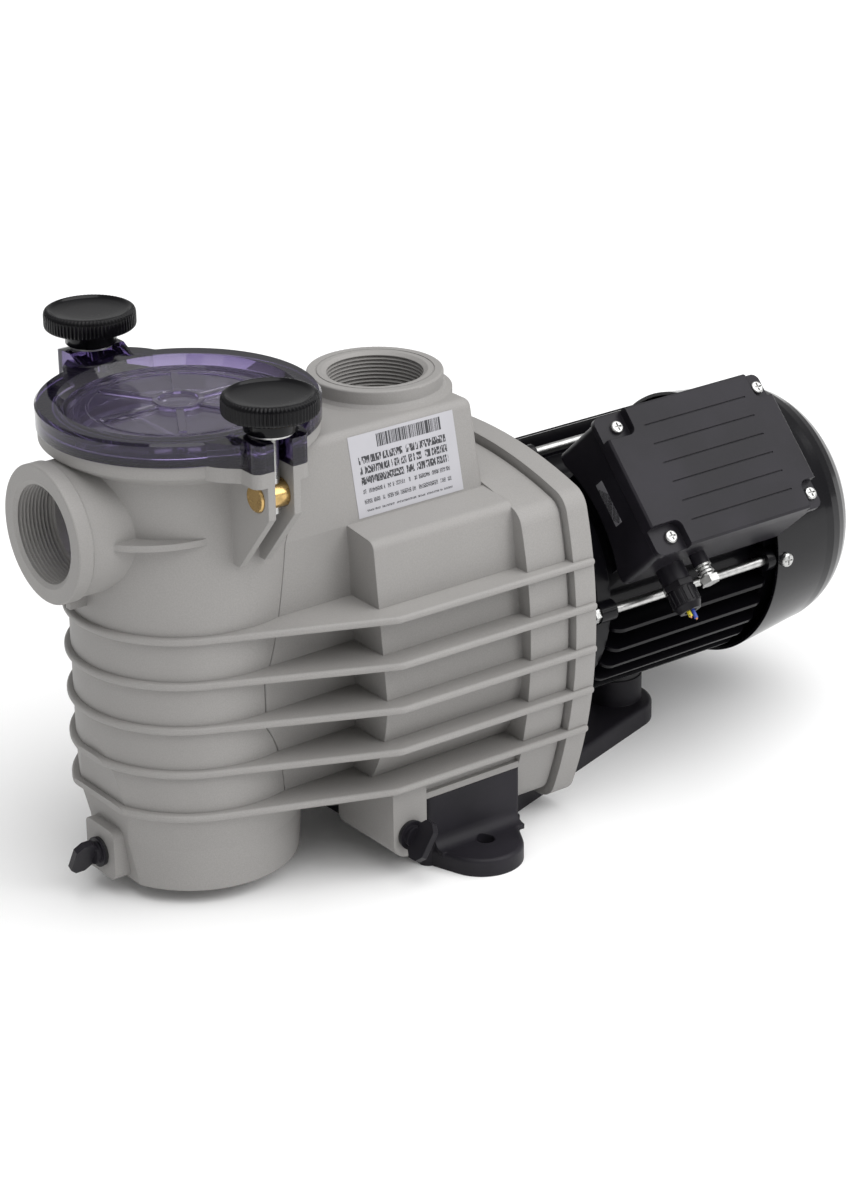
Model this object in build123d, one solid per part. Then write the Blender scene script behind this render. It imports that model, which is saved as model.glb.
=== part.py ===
"""Self-priming pool pump: strainer pot, volute casing, close-coupled motor and foot.

Frame, millimetres: origin at the middle of the two anchor holes, on the floor.
+X runs along the shaft towards the motor, +Z up, and -Y is the side with the label.
"""
import os
from math import atan, cos, degrees, pi, radians, sin, sqrt, tan

from build123d import *

# ---------------------------------------------------------------- driving sizes
SHAFT_Z = 118.0            # shaft axis above the floor
FIT = 0.3                  # assembly clearance between loose pieces
RUNNING = 0.05             # radial clearance of running fits
VOLUTE_FRONT_X = -66.0
POT_R = 67.5               # outside of the strainer pot
POT_X = VOLUTE_FRONT_X - POT_R - 1.5
SUCTION_Z = 229.5          # axis of the suction port
SUCTION_FACE_X = POT_X - POT_R - 24.5
DISCHARGE_FACE_Z = 276.0   # the discharge axis is X = 0, Y = 0
FLANGE_END_X = 77.0        # rear face of the pump body
MOTOR_FRONT_X = 117.0      # front face of the finned motor housing
MOTOR_LENGTH = 126.0
MOTOR_REAR_X = MOTOR_FRONT_X + MOTOR_LENGTH

# pipe ports, parallel pipe thread of nominal size 2
PORT_R = 40.0
PORT_COLLAR = 10.0
THREAD_MAJOR_R = 29.81
THREAD_MINOR_R = 28.33
THREAD_PITCH = 2.309
THREAD_LENGTH = 24.0
PORT_MOUTH_R = 31.0
PORT_BORE_R = 26.0
GUSSET = 4.0
GUSSET_R = POT_R - 4.6      # the suction gusset is a disc set in front of the pot axis
GUSSET_SHIFT = 20.0

# strainer pot
POT_WALL = 5.0
POT_BASE_Z = 10.0
POT_BASE_R = POT_R - 7.5
POT_SHOULDER_Z = 57.0
POT_FLOOR = 6.0
POT_FLAT = POT_R - 12.5    # distance of the front flat from the pot axis, at the base
POT_FLAT_DRAFT = 8.0
BOSS_PROUD = 11.0          # pad around the drain hole, in front of the flat
BOSS_HALF = 15.0
RIM_R = POT_R + 11.5
RIM_TOP_Z = 277.3
RIM_HEIGHT = 8.6

# lid
LID_R = RIM_R + 1.0
LID_FLANGE = 13.5
LID_PANE_R = POT_R - 3.5
LID_PANE_DROP = 5.5
LID_PANE = 5.0
SPIGOT_R = POT_R - POT_WALL - 1.0
SPIGOT_DEPTH = 9.0
LUG_WIDTH = 36.0
BOLT_Y = RIM_R + 12.6      # swing bolts, from the pot axis
LUG_REACH = BOLT_Y + 11.4
LUG_TOP_Z = 295.0
LID_SPOKES = 6
SPOKE_END_R = LID_PANE_R - 14.0
LID_HUB_R = 14.5
CROWN_START = RIM_R - 2.0   # where the raised part of a lug starts, from the pot axis
LID_ORING_PCR = POT_R + 0.5
LID_ORING_R = 2.6

# strainer basket
BASKET_R = SPIGOT_R - 3.0
BASKET_WALL = 2.0
BASKET_RIM = 3.0           # how far its rim stands out
BASKET_RIM_T = 4.0
BASKET_BOTTOM_Z = 70.0
BASKET_TOP_Z = 262.0
BASKET_ROWS = 7
BASKET_SLOTS = 20
FLOOR_SLOT_PITCH = 9.0

# swing bolts
SLOT_WIDTH = 12.0
BARREL_R = 8.0
BARREL_Z = 259.5
ROD_R = 4.0
CHEEK = 4.7
CHEEK_KINK_Z = 249.6
CHEEK_FOOT_Z = 213.0
WASHER_R = 12.5
WASHER_T = 1.6
KNOB_HUB_R = 15.0
KNOB_HUB = 9.0
KNOB_R = 26.8
KNOB_DISC = 12.0
KNOB_FLUTES = 56

# volute casing
STEP_X = 32.0              # where the volute ends and the flange begins
VOLUTE_R = 98.0
SHOULDER_Z = 214.0
SHOULDER_HALF = 87.0
SHOULDER_FALL = 3.0        # the shoulder slopes down from the upper box
SHOULDER_ROUND = 6.0
CASING_WALL = 6.0
GROOVE_X = 60.0
GROOVE = 2.0
FLANGE_HALF = 110.5
FLANGE_STEP = 5.0          # the front flange is this much smaller all round
FLANGE_TOP_Z = 226.5
FLANGE_BOTTOM_Z = 11.0
SIDE_BULGE_R = 290.0
TOP_BULGE_R = 300.0
FLANGE_CORNER = 15.0
BOX_TOP_Z = 265.0
BOX_TOP_HALF = 50.5
BOX_FOOT_HALF = 62.0
DUCT_HALF = POT_R - FIT    # the duct runs out of the pot's sides
DUCT_BOTTOM_Z = 57.0

# ribs
RIB_COUNT = 5
RIB_TOP_Z = 168.1
RIB_PITCH = 27.3
RIB = 4.5
RIB_POT_R = POT_R + 3.7
RIB_PROUD = 2.6
RIB_KINK_X = VOLUTE_FRONT_X + 1.5
RIB_KINK_R = 9.0

# casing cover and seal
COVER_FACE_X = 46.0
COVER = 12.0
COVER_R = 97.0
LAND_R = 86.0
COVER_SPIGOT = 8.0
ORING_R = 1.75
ORING_GROOVE = 3.8
COVER_BOLTS = 8
COVER_BOLT_PCR = 91.5
CASING_BOLT_R = 2.5
MOTOR_BOLT_PCR = 74.0
SEAL_SEAT_X = 36.0

# rotor
SHAFT_R = 8.0
IMPELLER_R = 62.0
IMPELLER_BACK_X = 16.0
IMPELLER_WIDTH = 24.0
EYE_R = 27.0
VANES = 6
VANE = 3.0
VANE_START_R = 20.0
VANE_SWEEP = 75.0
DIFFUSER_VANES = 9
FRONT_BEARING_X = 92.0
REAR_BEARING_X = MOTOR_REAR_X - 9.0

# motor
FIN_R = 81.6
HOUSING_R = 66.0
HOUSING_BORE_R = 60.0
FIN = 2.4
FIN_ANGLE = 10.5
CORE_LENGTH = MOTOR_LENGTH - 48.0
CORE_START_X = MOTOR_FRONT_X + 23.0
STATOR_BORE_R = 33.0
AIR_GAP = 0.4
TIE_ROD_R = 3.0
TIE_ROD_PCR = 77.5
ROD_NUT = 9.0
EAR_R = 6.6
EAR_DROP = 3.0             # rear ears sit further in, under the fan cover
REAR_SHIELD = 13.0
EAR_LEAD = 5.0             # rear ears start this far in front of the shield
TIE_ROD_BITE = 4.0         # how far the tie rods reach into the rear shield
HOOD_FRONT_X = MOTOR_REAR_X + 2.0
HOOD_FRONT_R = 85.0
HOOD_LENGTH = 85.0
HOOD_REAR_X = HOOD_FRONT_X + HOOD_LENGTH
HOOD_REAR_R = 79.0
HOOD_ROUND = 38.0
HOOD_WALL = 2.0
HOOD_SCREW_X = HOOD_FRONT_X + 6.5
HOOD_SCREW_R = 2.2
HOOD_HEAD_R = 4.5
GRILLE_RINGS = 5
GRILLE_START_R = 12.5
GRILLE_PITCH = 7.0
GRILLE_SLOT = 3.8
FAN_R = 62.0
FAN_BLADES = 7
FAN_X = HOOD_FRONT_X + 17.0
FAN = 22.0                 # length of its hub
FAN_SEAT_R = 7.5           # end of the shaft that carries the fan

# terminal box, in a frame turned about the shaft axis
BOX_TILT = 46.8
TBOX_FRONT_X = MOTOR_FRONT_X + 3.0
TBOX_REAR_X = MOTOR_REAR_X + 5.0
TBOX_HALF = 45.0
TBOX_BASE = 73.0           # height of its lower edge above the shaft axis
TBOX_RIM = 113.0
TBOX_WALL = 3.0
TCOVER = 10.0
TCOVER_LIP = 1.5
TSCREW_X = (TBOX_REAR_X - TBOX_FRONT_X) / 2 - 8.2
TSCREW_Y = TBOX_HALF - 8.0
TSCREW_R = 2.0
TSCREW_POCKET = 8.0
COVER_PAD = 4.0            # thickness of the cover under its screws
COVER_LINES = 6
GLAND_X = 150.0
GLAND_H = 82.0
GLAND_BOSS = 11.0
GLAND_BORE_R = 6.5
GLAND_NUT_R = 8.8
GLAND_NUT = 13.0
LEAD_R = 1.3
EARTH_X = 164.0
EARTH_H = 94.0
EARTH_BOSS = 8.0
BOX_SEAL = 1.2
LABEL = 0.25

# foot
ANCHOR_Y = 103.0
ANCHOR_R = 5.5
LOBE_R = 25.0
LOBE = 11.0
SWEEP_R = 8.0              # concave sweep between the saddle's wall and its lobes
SADDLE_FRONT_X = -37.0
SADDLE_REAR_X = 36.0
SADDLE_HALF = 94.0
SADDLE_TOP_Z = 45.0
RAIL_INNER = 58.0
ARM_END_X = 181.0
ARM_END_R = 27.0
ARM = 13.0
ARM_ROOT_HALF = 77.0
PILLAR_X = 184.0
PILLAR_R = 18.0
PAD = 6.0
FOOT_SCREW_R = 2.5

# drain plugs
PLUG_R = 7.0
PLUG_HEAD_R = PLUG_R + 2.0
PLUG_SEAL = 1.8
PLUG_SHANK = 14.0
WING_HALF = 12.0
WING = 4.0
POT_PLUG_Z = 26.0
SUMP_X = (-61.0, -37.0)
SUMP_FACE_Y = -95.0
SUMP_BOTTOM_Z = 13.0
SUMP_ROUND = 10.0
SUMP_DEPTH = 40.0          # its inner end, from the shaft's plane
SUMP_PLUG_X = -49.0
SUMP_PLUG_Z = 27.0

AT_SHAFT = Pos(0, 0, SHAFT_Z)
AT_POT = Pos(POT_X, 0, 0)
AT_BOX = Pos(0, 0, SHAFT_Z) * Rot(BOX_TILT, 0, 0)
TBOX_MID_X = (TBOX_FRONT_X + TBOX_REAR_X) / 2 + 4.0
HUB_BOTTOM_Z = LUG_TOP_Z + WASHER_T
POT_PLUG_FACE_X = POT_X - POT_FLAT - BOSS_PROUD
POT_PLUG_PLACE = Pos(POT_PLUG_FACE_X, 0, POT_PLUG_Z) * Rot(118, 0, 0)
SUMP_PLUG_PLACE = Pos(SUMP_PLUG_X, SUMP_FACE_Y, SUMP_PLUG_Z) * Rot(0, 0, 90) * Rot(122, 0, 0)
LOWEST_RIB_Z = RIB_TOP_Z - RIB_PITCH * (RIB_COUNT - 1)
LEDGE_Z = BASKET_TOP_Z - BASKET_RIM_T
LID_TOP_Z = RIM_TOP_Z + LID_FLANGE
PANE_TOP_Z = LID_TOP_Z - LID_PANE_DROP
GLAND_FACE_Y = -TBOX_HALF - GLAND_BOSS
EARTH_FACE_Y = -TBOX_HALF - EARTH_BOSS
COVER_BACK_X = COVER_FACE_X + COVER
ORING_PCR = LAND_R - ORING_R - 0.1


# ---------------------------------------------------------------- shape helpers
def block(x0, x1, y0, y1, z0, z1):
    """Box between two corners."""
    size = (x1 - x0, y1 - y0, z1 - z0)
    return Pos((x0 + x1) / 2, (y0 + y1) / 2, (z0 + z1) / 2) * Box(*size)


def rod_x(r, x0, x1, y=0.0, z=0.0):
    """Cylinder along X."""
    return Pos((x0 + x1) / 2, y, z) * Rot(0, 90, 0) * Cylinder(r, x1 - x0)


def rod_y(r, y0, y1, x=0.0, z=0.0):
    """Cylinder along Y."""
    return Pos(x, (y0 + y1) / 2, z) * Rot(90, 0, 0) * Cylinder(r, y1 - y0)


def rod_z(r, z0, z1, x=0.0, y=0.0):
    """Cylinder along Z."""
    return Pos(x, y, (z0 + z1) / 2) * Cylinder(r, z1 - z0)


def turned_x(points):
    """Solid turned about the X axis from an outline of (x, radius) points."""
    outline = make_face(Polyline(*[(x, 0, r) for x, r in points], close=True))
    return revolve(outline, Axis.X)


def turned_z(points):
    """Solid turned about the Z axis from an outline of (radius, z) points."""
    outline = make_face(Polyline(*[(r, 0, z) for r, z in points], close=True))
    return revolve(outline, Axis.Z)


def torus_x(r, section, x):
    """Round ring about the X axis."""
    return Pos(x, 0, 0) * Rot(0, 90, 0) * Torus(r, section)


def hexagon_x(across_flats, x0, x1):
    """Hexagonal head along X."""
    profile = RegularPolygon(across_flats / 2, 6, major_radius=False)
    return Pos(x0, 0, 0) * Rot(0, 90, 0) * extrude(profile, x1 - x0)


def around_x(piece, count, start=0.0):
    """Copies of a piece spread evenly about the X axis."""
    return [Rot(start + 360 / count * i, 0, 0) * piece for i in range(count)]


def prism_x(points, x0, x1):
    """Prism along X from an outline of (y, z) points."""
    outline = make_face(Polyline(*[(x0, y, z) for y, z in points], close=True))
    return extrude(outline, x1 - x0, dir=(1, 0, 0))


def joined(pieces):
    """Union of a list of pieces."""
    total = pieces[0]
    for piece in pieces[1:]:
        total = total + piece
    return total


def thread_bore(depth):
    """Cutter for a port: lead-in, then ring grooves with flat crests, mouth at z = 0."""
    lead = 1.6
    turns = int((depth - lead) / THREAD_PITCH)
    half_groove = THREAD_PITCH * 0.42
    outline = [(0, 1), (PORT_MOUTH_R, 1), (PORT_MOUTH_R, 0), (THREAD_MINOR_R, -lead)]
    for i in range(turns):
        middle = -lead - THREAD_PITCH * (i + 0.6)
        outline += [
            (THREAD_MINOR_R, middle + half_groove),
            (THREAD_MAJOR_R, middle + 0.15),
            (THREAD_MAJOR_R, middle - 0.15),
            (THREAD_MINOR_R, middle - half_groove),
        ]
    outline += [(THREAD_MINOR_R, -depth), (0, -depth)]
    return turned_z(outline)


# ---------------------------------------------------------------- pump body
def flange_half_at(z):
    """Half width of the rear flange at height z, on its bulged side."""
    rise = z - (SHAFT_Z + 10)
    return FLANGE_HALF - SIDE_BULGE_R + sqrt(SIDE_BULGE_R**2 - rise**2)


def flange_plate(x0, x1, inset):
    """Rounded-square plate with bulged sides and top."""
    half = FLANGE_HALF - inset
    top = FLANGE_TOP_Z - inset
    middle = SHAFT_Z + 10
    plate = block(x0, x1, -half, half, FLANGE_BOTTOM_Z + inset, top)
    for side in (-1, 1):
        plate &= rod_x(SIDE_BULGE_R, x0, x1, side * (half - SIDE_BULGE_R), middle)
    plate &= rod_x(TOP_BULGE_R, x0, x1, 0, top - TOP_BULGE_R)
    return fillet(plate.edges().filter_by(Axis.X), FLANGE_CORNER - inset / 2)


def volute_block(x0, x1, inset):
    """Round below the shaft axis; above it drafted, with sloping shoulders beside the upper box."""
    r = VOLUTE_R - inset
    half, top = SHOULDER_HALF - inset, SHOULDER_Z - inset
    box_half = BOX_FOOT_HALF - inset
    below = rod_x(r, x0, x1, 0, SHAFT_Z) & block(x0, x1, -r, r, 0, SHAFT_Z)
    above = prism_x([
        (-r, SHAFT_Z), (-half, top - SHOULDER_FALL), (-box_half, top),
        (box_half, top), (half, top - SHOULDER_FALL), (r, SHAFT_Z),
    ], x0, x1)
    lengthwise = above.edges().filter_by(Axis.X)
    outer_edges = [e for e in lengthwise if abs(e.center().Y) > box_half + 1 and e.center().Z > SHAFT_Z + 1]
    return below + fillet(outer_edges, SHOULDER_ROUND)


def box_half_at(z):
    """Half width of the upper box at height z."""
    share = (z - SHOULDER_Z) / (BOX_TOP_Z - SHOULDER_Z)
    return BOX_FOOT_HALF - (BOX_FOOT_HALF - BOX_TOP_HALF) * share


def upper_box():
    """Drafted box under the discharge port; its foot narrows inside the duct and the volute."""
    foot_half = BOX_TOP_HALF - CASING_WALL
    box = prism_x([
        (-foot_half, SHOULDER_Z - 2 * CASING_WALL), (-BOX_FOOT_HALF, SHOULDER_Z), (-BOX_TOP_HALF, BOX_TOP_Z),
        (BOX_TOP_HALF, BOX_TOP_Z), (BOX_FOOT_HALF, SHOULDER_Z), (foot_half, SHOULDER_Z - 2 * CASING_WALL),
    ], POT_X, STEP_X + 1)
    rims = box.edges().filter_by(Axis.X).group_by(Axis.Z)[-1]
    rims += [e for e in box.edges() if e.center().X > STEP_X and e.center().Z > SHOULDER_Z]
    return fillet(rims, 6.0)


def rib(index):
    """One horizontal rib: a loop round the pot that opens out to the flange."""
    z = RIB_TOP_Z - RIB_PITCH * index
    half = flange_half_at(z + RIB / 2) + RIB_PROUD
    tip = RIB / 2
    circles = [Pos(POT_X, 0) * Circle(RIB_POT_R)]
    for side in (-1, 1):
        kink_y = side * (half - 2 - RIB_KINK_R)
        circles.append(Pos(RIB_KINK_X + RIB_KINK_R / 3, kink_y) * Circle(RIB_KINK_R))
        circles.append(Pos(FLANGE_END_X - tip, side * (half - tip)) * Circle(tip))
    outline = make_hull([edge for circle in circles for edge in circle.edges()])
    plate = Pos(0, 0, z) * extrude(outline, RIB)
    return fillet(plate.faces().filter_by(Axis.Z).edges(), RIB * 0.42)


def front_flat(proud):
    """Wedge in front of the pot's drafted flat, moved out by a distance."""
    x0 = POT_X - POT_FLAT - proud
    x1 = x0 - (RIB_TOP_Z - POT_BASE_Z) * tan(radians(POT_FLAT_DRAFT))
    ahead = x0 - POT_R
    outline = [(x0, POT_BASE_Z), (ahead, POT_BASE_Z), (ahead, RIB_TOP_Z), (x1, RIB_TOP_Z)]
    face = make_face(Polyline(*[(x, -RIM_R, z) for x, z in outline], close=True))
    return extrude(face, 2 * RIM_R, dir=(0, 1, 0))


def cheek_plates():
    """Two pairs of plates that hold the swing bolts' barrels."""
    top = RIM_TOP_Z - RIM_HEIGHT + 1
    outline = [
        (POT_R - 3, top), (LUG_REACH, top), (LUG_REACH, CHEEK_KINK_Z),
        (POT_R + 5, CHEEK_FOOT_Z), (POT_R - 3, CHEEK_FOOT_Z),
    ]
    plates = []
    for side in (-1, 1):
        for end in (-1, 1):
            inner = POT_X + end * SLOT_WIDTH / 2
            outer = inner + end * CHEEK
            plates.append(prism_x([(side * y, z) for y, z in outline], min(inner, outer), max(inner, outer)))
    return joined(plates)


def lug_plan(reach, z0, z1):
    """The two lugs at the rim, with their slots cut."""
    half = LUG_WIDTH / 2
    plate = block(POT_X - half, POT_X + half, -reach, reach, z0, z1)
    plate = fillet(plate.edges().filter_by(Axis.Z), 5.0)
    flares = []
    for side in (-1, 1):
        flare = make_hull(
            (Pos(POT_X, side * 60) * Circle(LUG_WIDTH * 0.92)).edges()
            + (Pos(POT_X - half + 3, side * (BOLT_Y - 4)) * Circle(2.9)).edges()
            + (Pos(POT_X + half - 3, side * (BOLT_Y - 4)) * Circle(2.9)).edges()
        )
        flares.append(Pos(0, 0, z0) * extrude(flare, z1 - z0))
    return plate + flares[0] + flares[1]


def lug_slots(z0, z1):
    """Open slots that the swing bolts pass through."""
    half = SLOT_WIDTH / 2
    slots = []
    for side in (-1, 1):
        y0 = side * (BOLT_Y - 1)
        y1 = side * (LUG_REACH + 10)
        slots.append(block(POT_X - half, POT_X + half, min(y0, y1), max(y0, y1), z0, z1))
        slots.append(rod_z(half, z0, z1, POT_X, y0))
    return joined(slots)


def suction_neck():
    """Suction port with its collar, the web under it and the gusset discs beside it."""
    collar = rod_x(PORT_R, SUCTION_FACE_X, SUCTION_FACE_X + PORT_COLLAR, 0, SUCTION_Z)
    collar = fillet(collar.edges(), 1.2)
    neck = rod_x(PORT_R - 1.2, SUCTION_FACE_X + 2, POT_X, 0, SUCTION_Z)
    web = block(SUCTION_FACE_X + 14, POT_X, -CHEEK / 2, CHEEK / 2, RIB_TOP_Z, SUCTION_Z)
    web_bottom = SUCTION_Z - PORT_R - 8
    under = block(SUCTION_FACE_X, POT_X - POT_R + 2, -PORT_COLLAR, PORT_COLLAR, RIB_TOP_Z - 1, web_bottom)
    gusset = rod_z(GUSSET_R, SUCTION_Z - GUSSET + 1, SUCTION_Z + 1, POT_X - GUSSET_SHIFT)
    return collar + neck + (web - under) + gusset


def discharge_neck():
    """Discharge port with its collar and the flare at its foot."""
    collar = rod_z(PORT_R, BOX_TOP_Z, DISCHARGE_FACE_Z)
    collar = fillet(collar.edges().group_by(Axis.Z)[-1], 1.2)
    flare = turned_z([
        (0, SHOULDER_Z), (PORT_R - 4, SHOULDER_Z), (PORT_R + 5, BOX_TOP_Z - 3), (PORT_R + 5, BOX_TOP_Z),
        (PORT_R + 1.6, BOX_TOP_Z + 0.9), (PORT_R, BOX_TOP_Z + 3), (0, BOX_TOP_Z + 3),
    ])
    lip = rod_z(PORT_R - 5.2, DISCHARGE_FACE_Z - 0.4, DISCHARGE_FACE_Z + 1)
    lip -= rod_z(PORT_R - 6, DISCHARGE_FACE_Z - 1, DISCHARGE_FACE_Z + 2)
    return collar + flare - lip


def sump():
    """Block under the volute, up to the lowest rib, that holds the volute drain plug."""
    x0, x1 = SUMP_X
    box = block(x0, x1, SUMP_FACE_Y, -SUMP_DEPTH, SUMP_BOTTOM_Z, LOWEST_RIB_Z + RIB / 2)
    low = box.edges().filter_by(Axis.Y).group_by(Axis.Z)[0]
    return fillet(low.sort_by(Axis.X)[:1], SUMP_ROUND)


def foot_rails():
    """Ledges under the volute that rest on the foot."""
    rails = []
    x0, x1 = SADDLE_FRONT_X, STEP_X + 1
    for side in (-1, 1):
        y0, y1, y2 = side * RAIL_INNER, side * (SADDLE_HALF - 3), side * SADDLE_HALF
        rails.append(block(x0, x1, min(y0, y2), max(y0, y2), SADDLE_TOP_Z, SADDLE_TOP_Z + 4))
        rails.append(block(x0, x1, min(y0, y1), max(y0, y1), SADDLE_TOP_Z, LOWEST_RIB_Z + RIB / 2))
    return joined(rails)


def pot_outside():
    """Outside of the strainer pot: drafted bowl with a flat in front, straight wall and rim."""
    pot = AT_POT * turned_z([
        (0, POT_BASE_Z), (POT_BASE_R, POT_BASE_Z), (POT_BASE_R + 1.8, POT_SHOULDER_Z - 20),
        (POT_R - 1, POT_SHOULDER_Z), (POT_R, POT_SHOULDER_Z + 25), (POT_R, RIM_TOP_Z), (0, RIM_TOP_Z),
    ])
    under = RIM_TOP_Z - RIM_HEIGHT
    rim = AT_POT * turned_z([
        (0, under - 6), (POT_R, under - 6), (RIM_R - 1.5, under), (RIM_R, under + 1.5),
        (RIM_R, RIM_TOP_Z), (0, RIM_TOP_Z),
    ])
    return pot - front_flat(0) + rim + lug_plan(LUG_REACH, under, RIM_TOP_Z) + cheek_plates()


def pot_drain_boss():
    """Raised pad around the pot's drain hole."""
    pad = block(POT_PLUG_FACE_X, POT_X - POT_FLAT / 2, -BOSS_HALF, BOSS_HALF, POT_BASE_Z + 2, POT_PLUG_Z + 17)
    return fillet(pad.edges().filter_by(Axis.X), 4.0)


def casing_outside():
    """Outside of the casing behind the pot: duct, volute, flange, upper box, sump and rails."""
    duct = prism_x([
        (-DUCT_HALF + 4, DUCT_BOTTOM_Z), (-DUCT_HALF, SHAFT_Z - 10), (-DUCT_HALF, SHAFT_Z + 20),
        (-BOX_FOOT_HALF, SHOULDER_Z), (BOX_FOOT_HALF, SHOULDER_Z), (DUCT_HALF, SHAFT_Z + 20),
        (DUCT_HALF, SHAFT_Z - 10), (DUCT_HALF - 4, DUCT_BOTTOM_Z),
    ], POT_X, VOLUTE_FRONT_X + 1)
    body = duct + volute_block(VOLUTE_FRONT_X, STEP_X + 1, 0)
    body += flange_plate(STEP_X, GROOVE_X, FLANGE_STEP)
    body += flange_plate(GROOVE_X - 0.5, GROOVE_X + GROOVE, FLANGE_STEP + 2)
    body += flange_plate(GROOVE_X + GROOVE, FLANGE_END_X, 0)
    return body + upper_box() + discharge_neck() + sump() + foot_rails()


def water_duct():
    """Hollow of the duct, through the pot's wall and up to the volute."""
    low = block(POT_X, VOLUTE_FRONT_X, -DUCT_HALF + 8, DUCT_HALF - 8, DUCT_BOTTOM_Z + 7, SHOULDER_Z - 8)
    half = BOX_TOP_HALF - 8
    return low + block(POT_X, -PORT_BORE_R - 8, -half, half, SHOULDER_Z + 1, BOX_TOP_Z - 7)


def strainer_pot():
    """Front part of the moulded casing: pot, rim with its lugs, suction port and drain pad."""
    pot = pot_outside() + suction_neck() + pot_drain_boss()
    inner = POT_R - POT_WALL
    floor_z = POT_BASE_Z + POT_FLOOR
    pot -= AT_POT * turned_z([
        (0, floor_z), (POT_FLAT - 8, floor_z), (POT_FLAT - 6, POT_SHOULDER_Z - 17),
        (inner, POT_SHOULDER_Z + 9), (inner, RIM_TOP_Z + 1), (0, RIM_TOP_Z + 1),
    ])
    pot += AT_POT * (rod_z(inner + 1, LEDGE_Z - 4, LEDGE_Z) - rod_z(BASKET_R + FIT, LEDGE_Z - 5, LEDGE_Z + 1))
    pot -= water_duct()
    pot -= rod_x(PORT_BORE_R, SUCTION_FACE_X, POT_X, 0, SUCTION_Z)
    pot -= Pos(SUCTION_FACE_X, 0, SUCTION_Z) * Rot(0, -90, 0) * thread_bore(THREAD_LENGTH)
    pot -= lug_slots(RIM_TOP_Z - RIM_HEIGHT - 8, RIM_TOP_Z + 1)
    pot -= AT_POT * Pos(0, 0, RIM_TOP_Z) * Torus(LID_ORING_PCR, LID_ORING_R + 0.1)
    for side in (-1, 1):
        pot -= rod_x(BARREL_R + RUNNING, POT_X - LUG_WIDTH, POT_X + LUG_WIDTH, side * BOLT_Y, BARREL_Z)
    return pot - rod_x(PLUG_R + FIT, POT_PLUG_FACE_X - 1, POT_X - POT_FLAT + 14, 0, POT_PLUG_Z)


def pump_body():
    """Rear part of the moulded casing: duct, volute, discharge port, flange, sump and rails."""
    body = casing_outside() - pot_outside()
    body -= water_duct()
    body -= volute_block(VOLUTE_FRONT_X + CASING_WALL, STEP_X, CASING_WALL)
    body -= rod_x(LAND_R, STEP_X - 1, FLANGE_END_X + 1, 0, SHAFT_Z)
    body -= rod_x(COVER_R, COVER_FACE_X, FLANGE_END_X + 1, 0, SHAFT_Z)
    body -= rod_x(EYE_R + 4 + FIT, VOLUTE_FRONT_X - 12, VOLUTE_FRONT_X + CASING_WALL + 1, 0, SHAFT_Z)
    body -= rod_z(PORT_BORE_R, SHOULDER_Z - 20, DISCHARGE_FACE_Z)
    body -= Pos(0, 0, DISCHARGE_FACE_Z) * thread_bore(THREAD_LENGTH)
    hole = rod_x(CASING_BOLT_R, COVER_FACE_X - 11, COVER_FACE_X + 1, 0, COVER_BOLT_PCR)
    for bolt in around_x(hole, COVER_BOLTS, 22.5):
        body -= AT_SHAFT * bolt
    behind_y = SUMP_FACE_Y + 24
    body -= rod_y(PLUG_R + FIT, SUMP_FACE_Y - 1, behind_y, SUMP_PLUG_X, SUMP_PLUG_Z)
    body -= block(SUMP_PLUG_X - 6, SUMP_PLUG_X + 6, behind_y - 6, behind_y + 6, SUMP_PLUG_Z - 6, SHAFT_Z - 50)
    for x, y in foot_screw_places():
        body -= rod_z(FOOT_SCREW_R, SADDLE_TOP_Z - 1, SADDLE_TOP_Z + 12, x, y)
    return body


def casing_ribs():
    """Horizontal ribs round the pot, the duct and the volute."""
    inside = casing_outside() + pot_outside()
    plates = []
    for index in range(RIB_COUNT):
        plates.append(rib(index) - front_flat(RIB_POT_R - POT_R) - inside)
    return plates


def foot_screw_places():
    """Four screws that hold the foot under the rails."""
    x0, x1 = SADDLE_FRONT_X + 12, SADDLE_REAR_X - 16
    y = SADDLE_HALF - 14
    return [(x, side * y) for x in (x0, x1) for side in (-1, 1)]


# ---------------------------------------------------------------- lid and strainer
def lid_lug(side):
    """Raised crown over one swing bolt, with two slanted ridges towards the pane."""
    half = LUG_WIDTH / 2
    crown_r = LUG_TOP_Z - BARREL_Z
    rise = LUG_TOP_Z - LID_TOP_Z
    crown = prism_x([
        (side * CROWN_START, RIM_TOP_Z), (side * CROWN_START, LID_TOP_Z),
        (side * (CROWN_START + 2 * rise), LUG_TOP_Z), (side * LUG_REACH, LUG_TOP_Z),
        (side * LUG_REACH, RIM_TOP_Z),
    ], POT_X - half, POT_X + half)
    crown = fillet([e for e in crown.edges().filter_by(Axis.Z) if abs(e.center().Y) > BOLT_Y], 5.0)
    y0, y1 = side * BOLT_Y, side * (LUG_REACH + 1)
    outer = block(POT_X - half - 1, POT_X + half + 1, min(y0, y1), max(y0, y1), RIM_TOP_Z, LUG_TOP_Z + 1)
    crown -= outer - rod_x(crown_r, POT_X - half - 1, POT_X + half + 1, side * BOLT_Y, BARREL_Z)
    inner_y, foot_y = side * (CROWN_START + 2 * rise), side * (LID_PANE_R + 3)
    for end in (-1, 1):
        x0, x1 = POT_X + end * (half - 4.5), POT_X + end * (half - 1.5)
        crown += prism_x([(foot_y, RIM_TOP_Z + 1), (foot_y, LID_TOP_Z - 1), (inner_y, LUG_TOP_Z - 0.6),
                          (inner_y, RIM_TOP_Z + 1)], min(x0, x1), max(x0, x1))
    return crown


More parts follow.
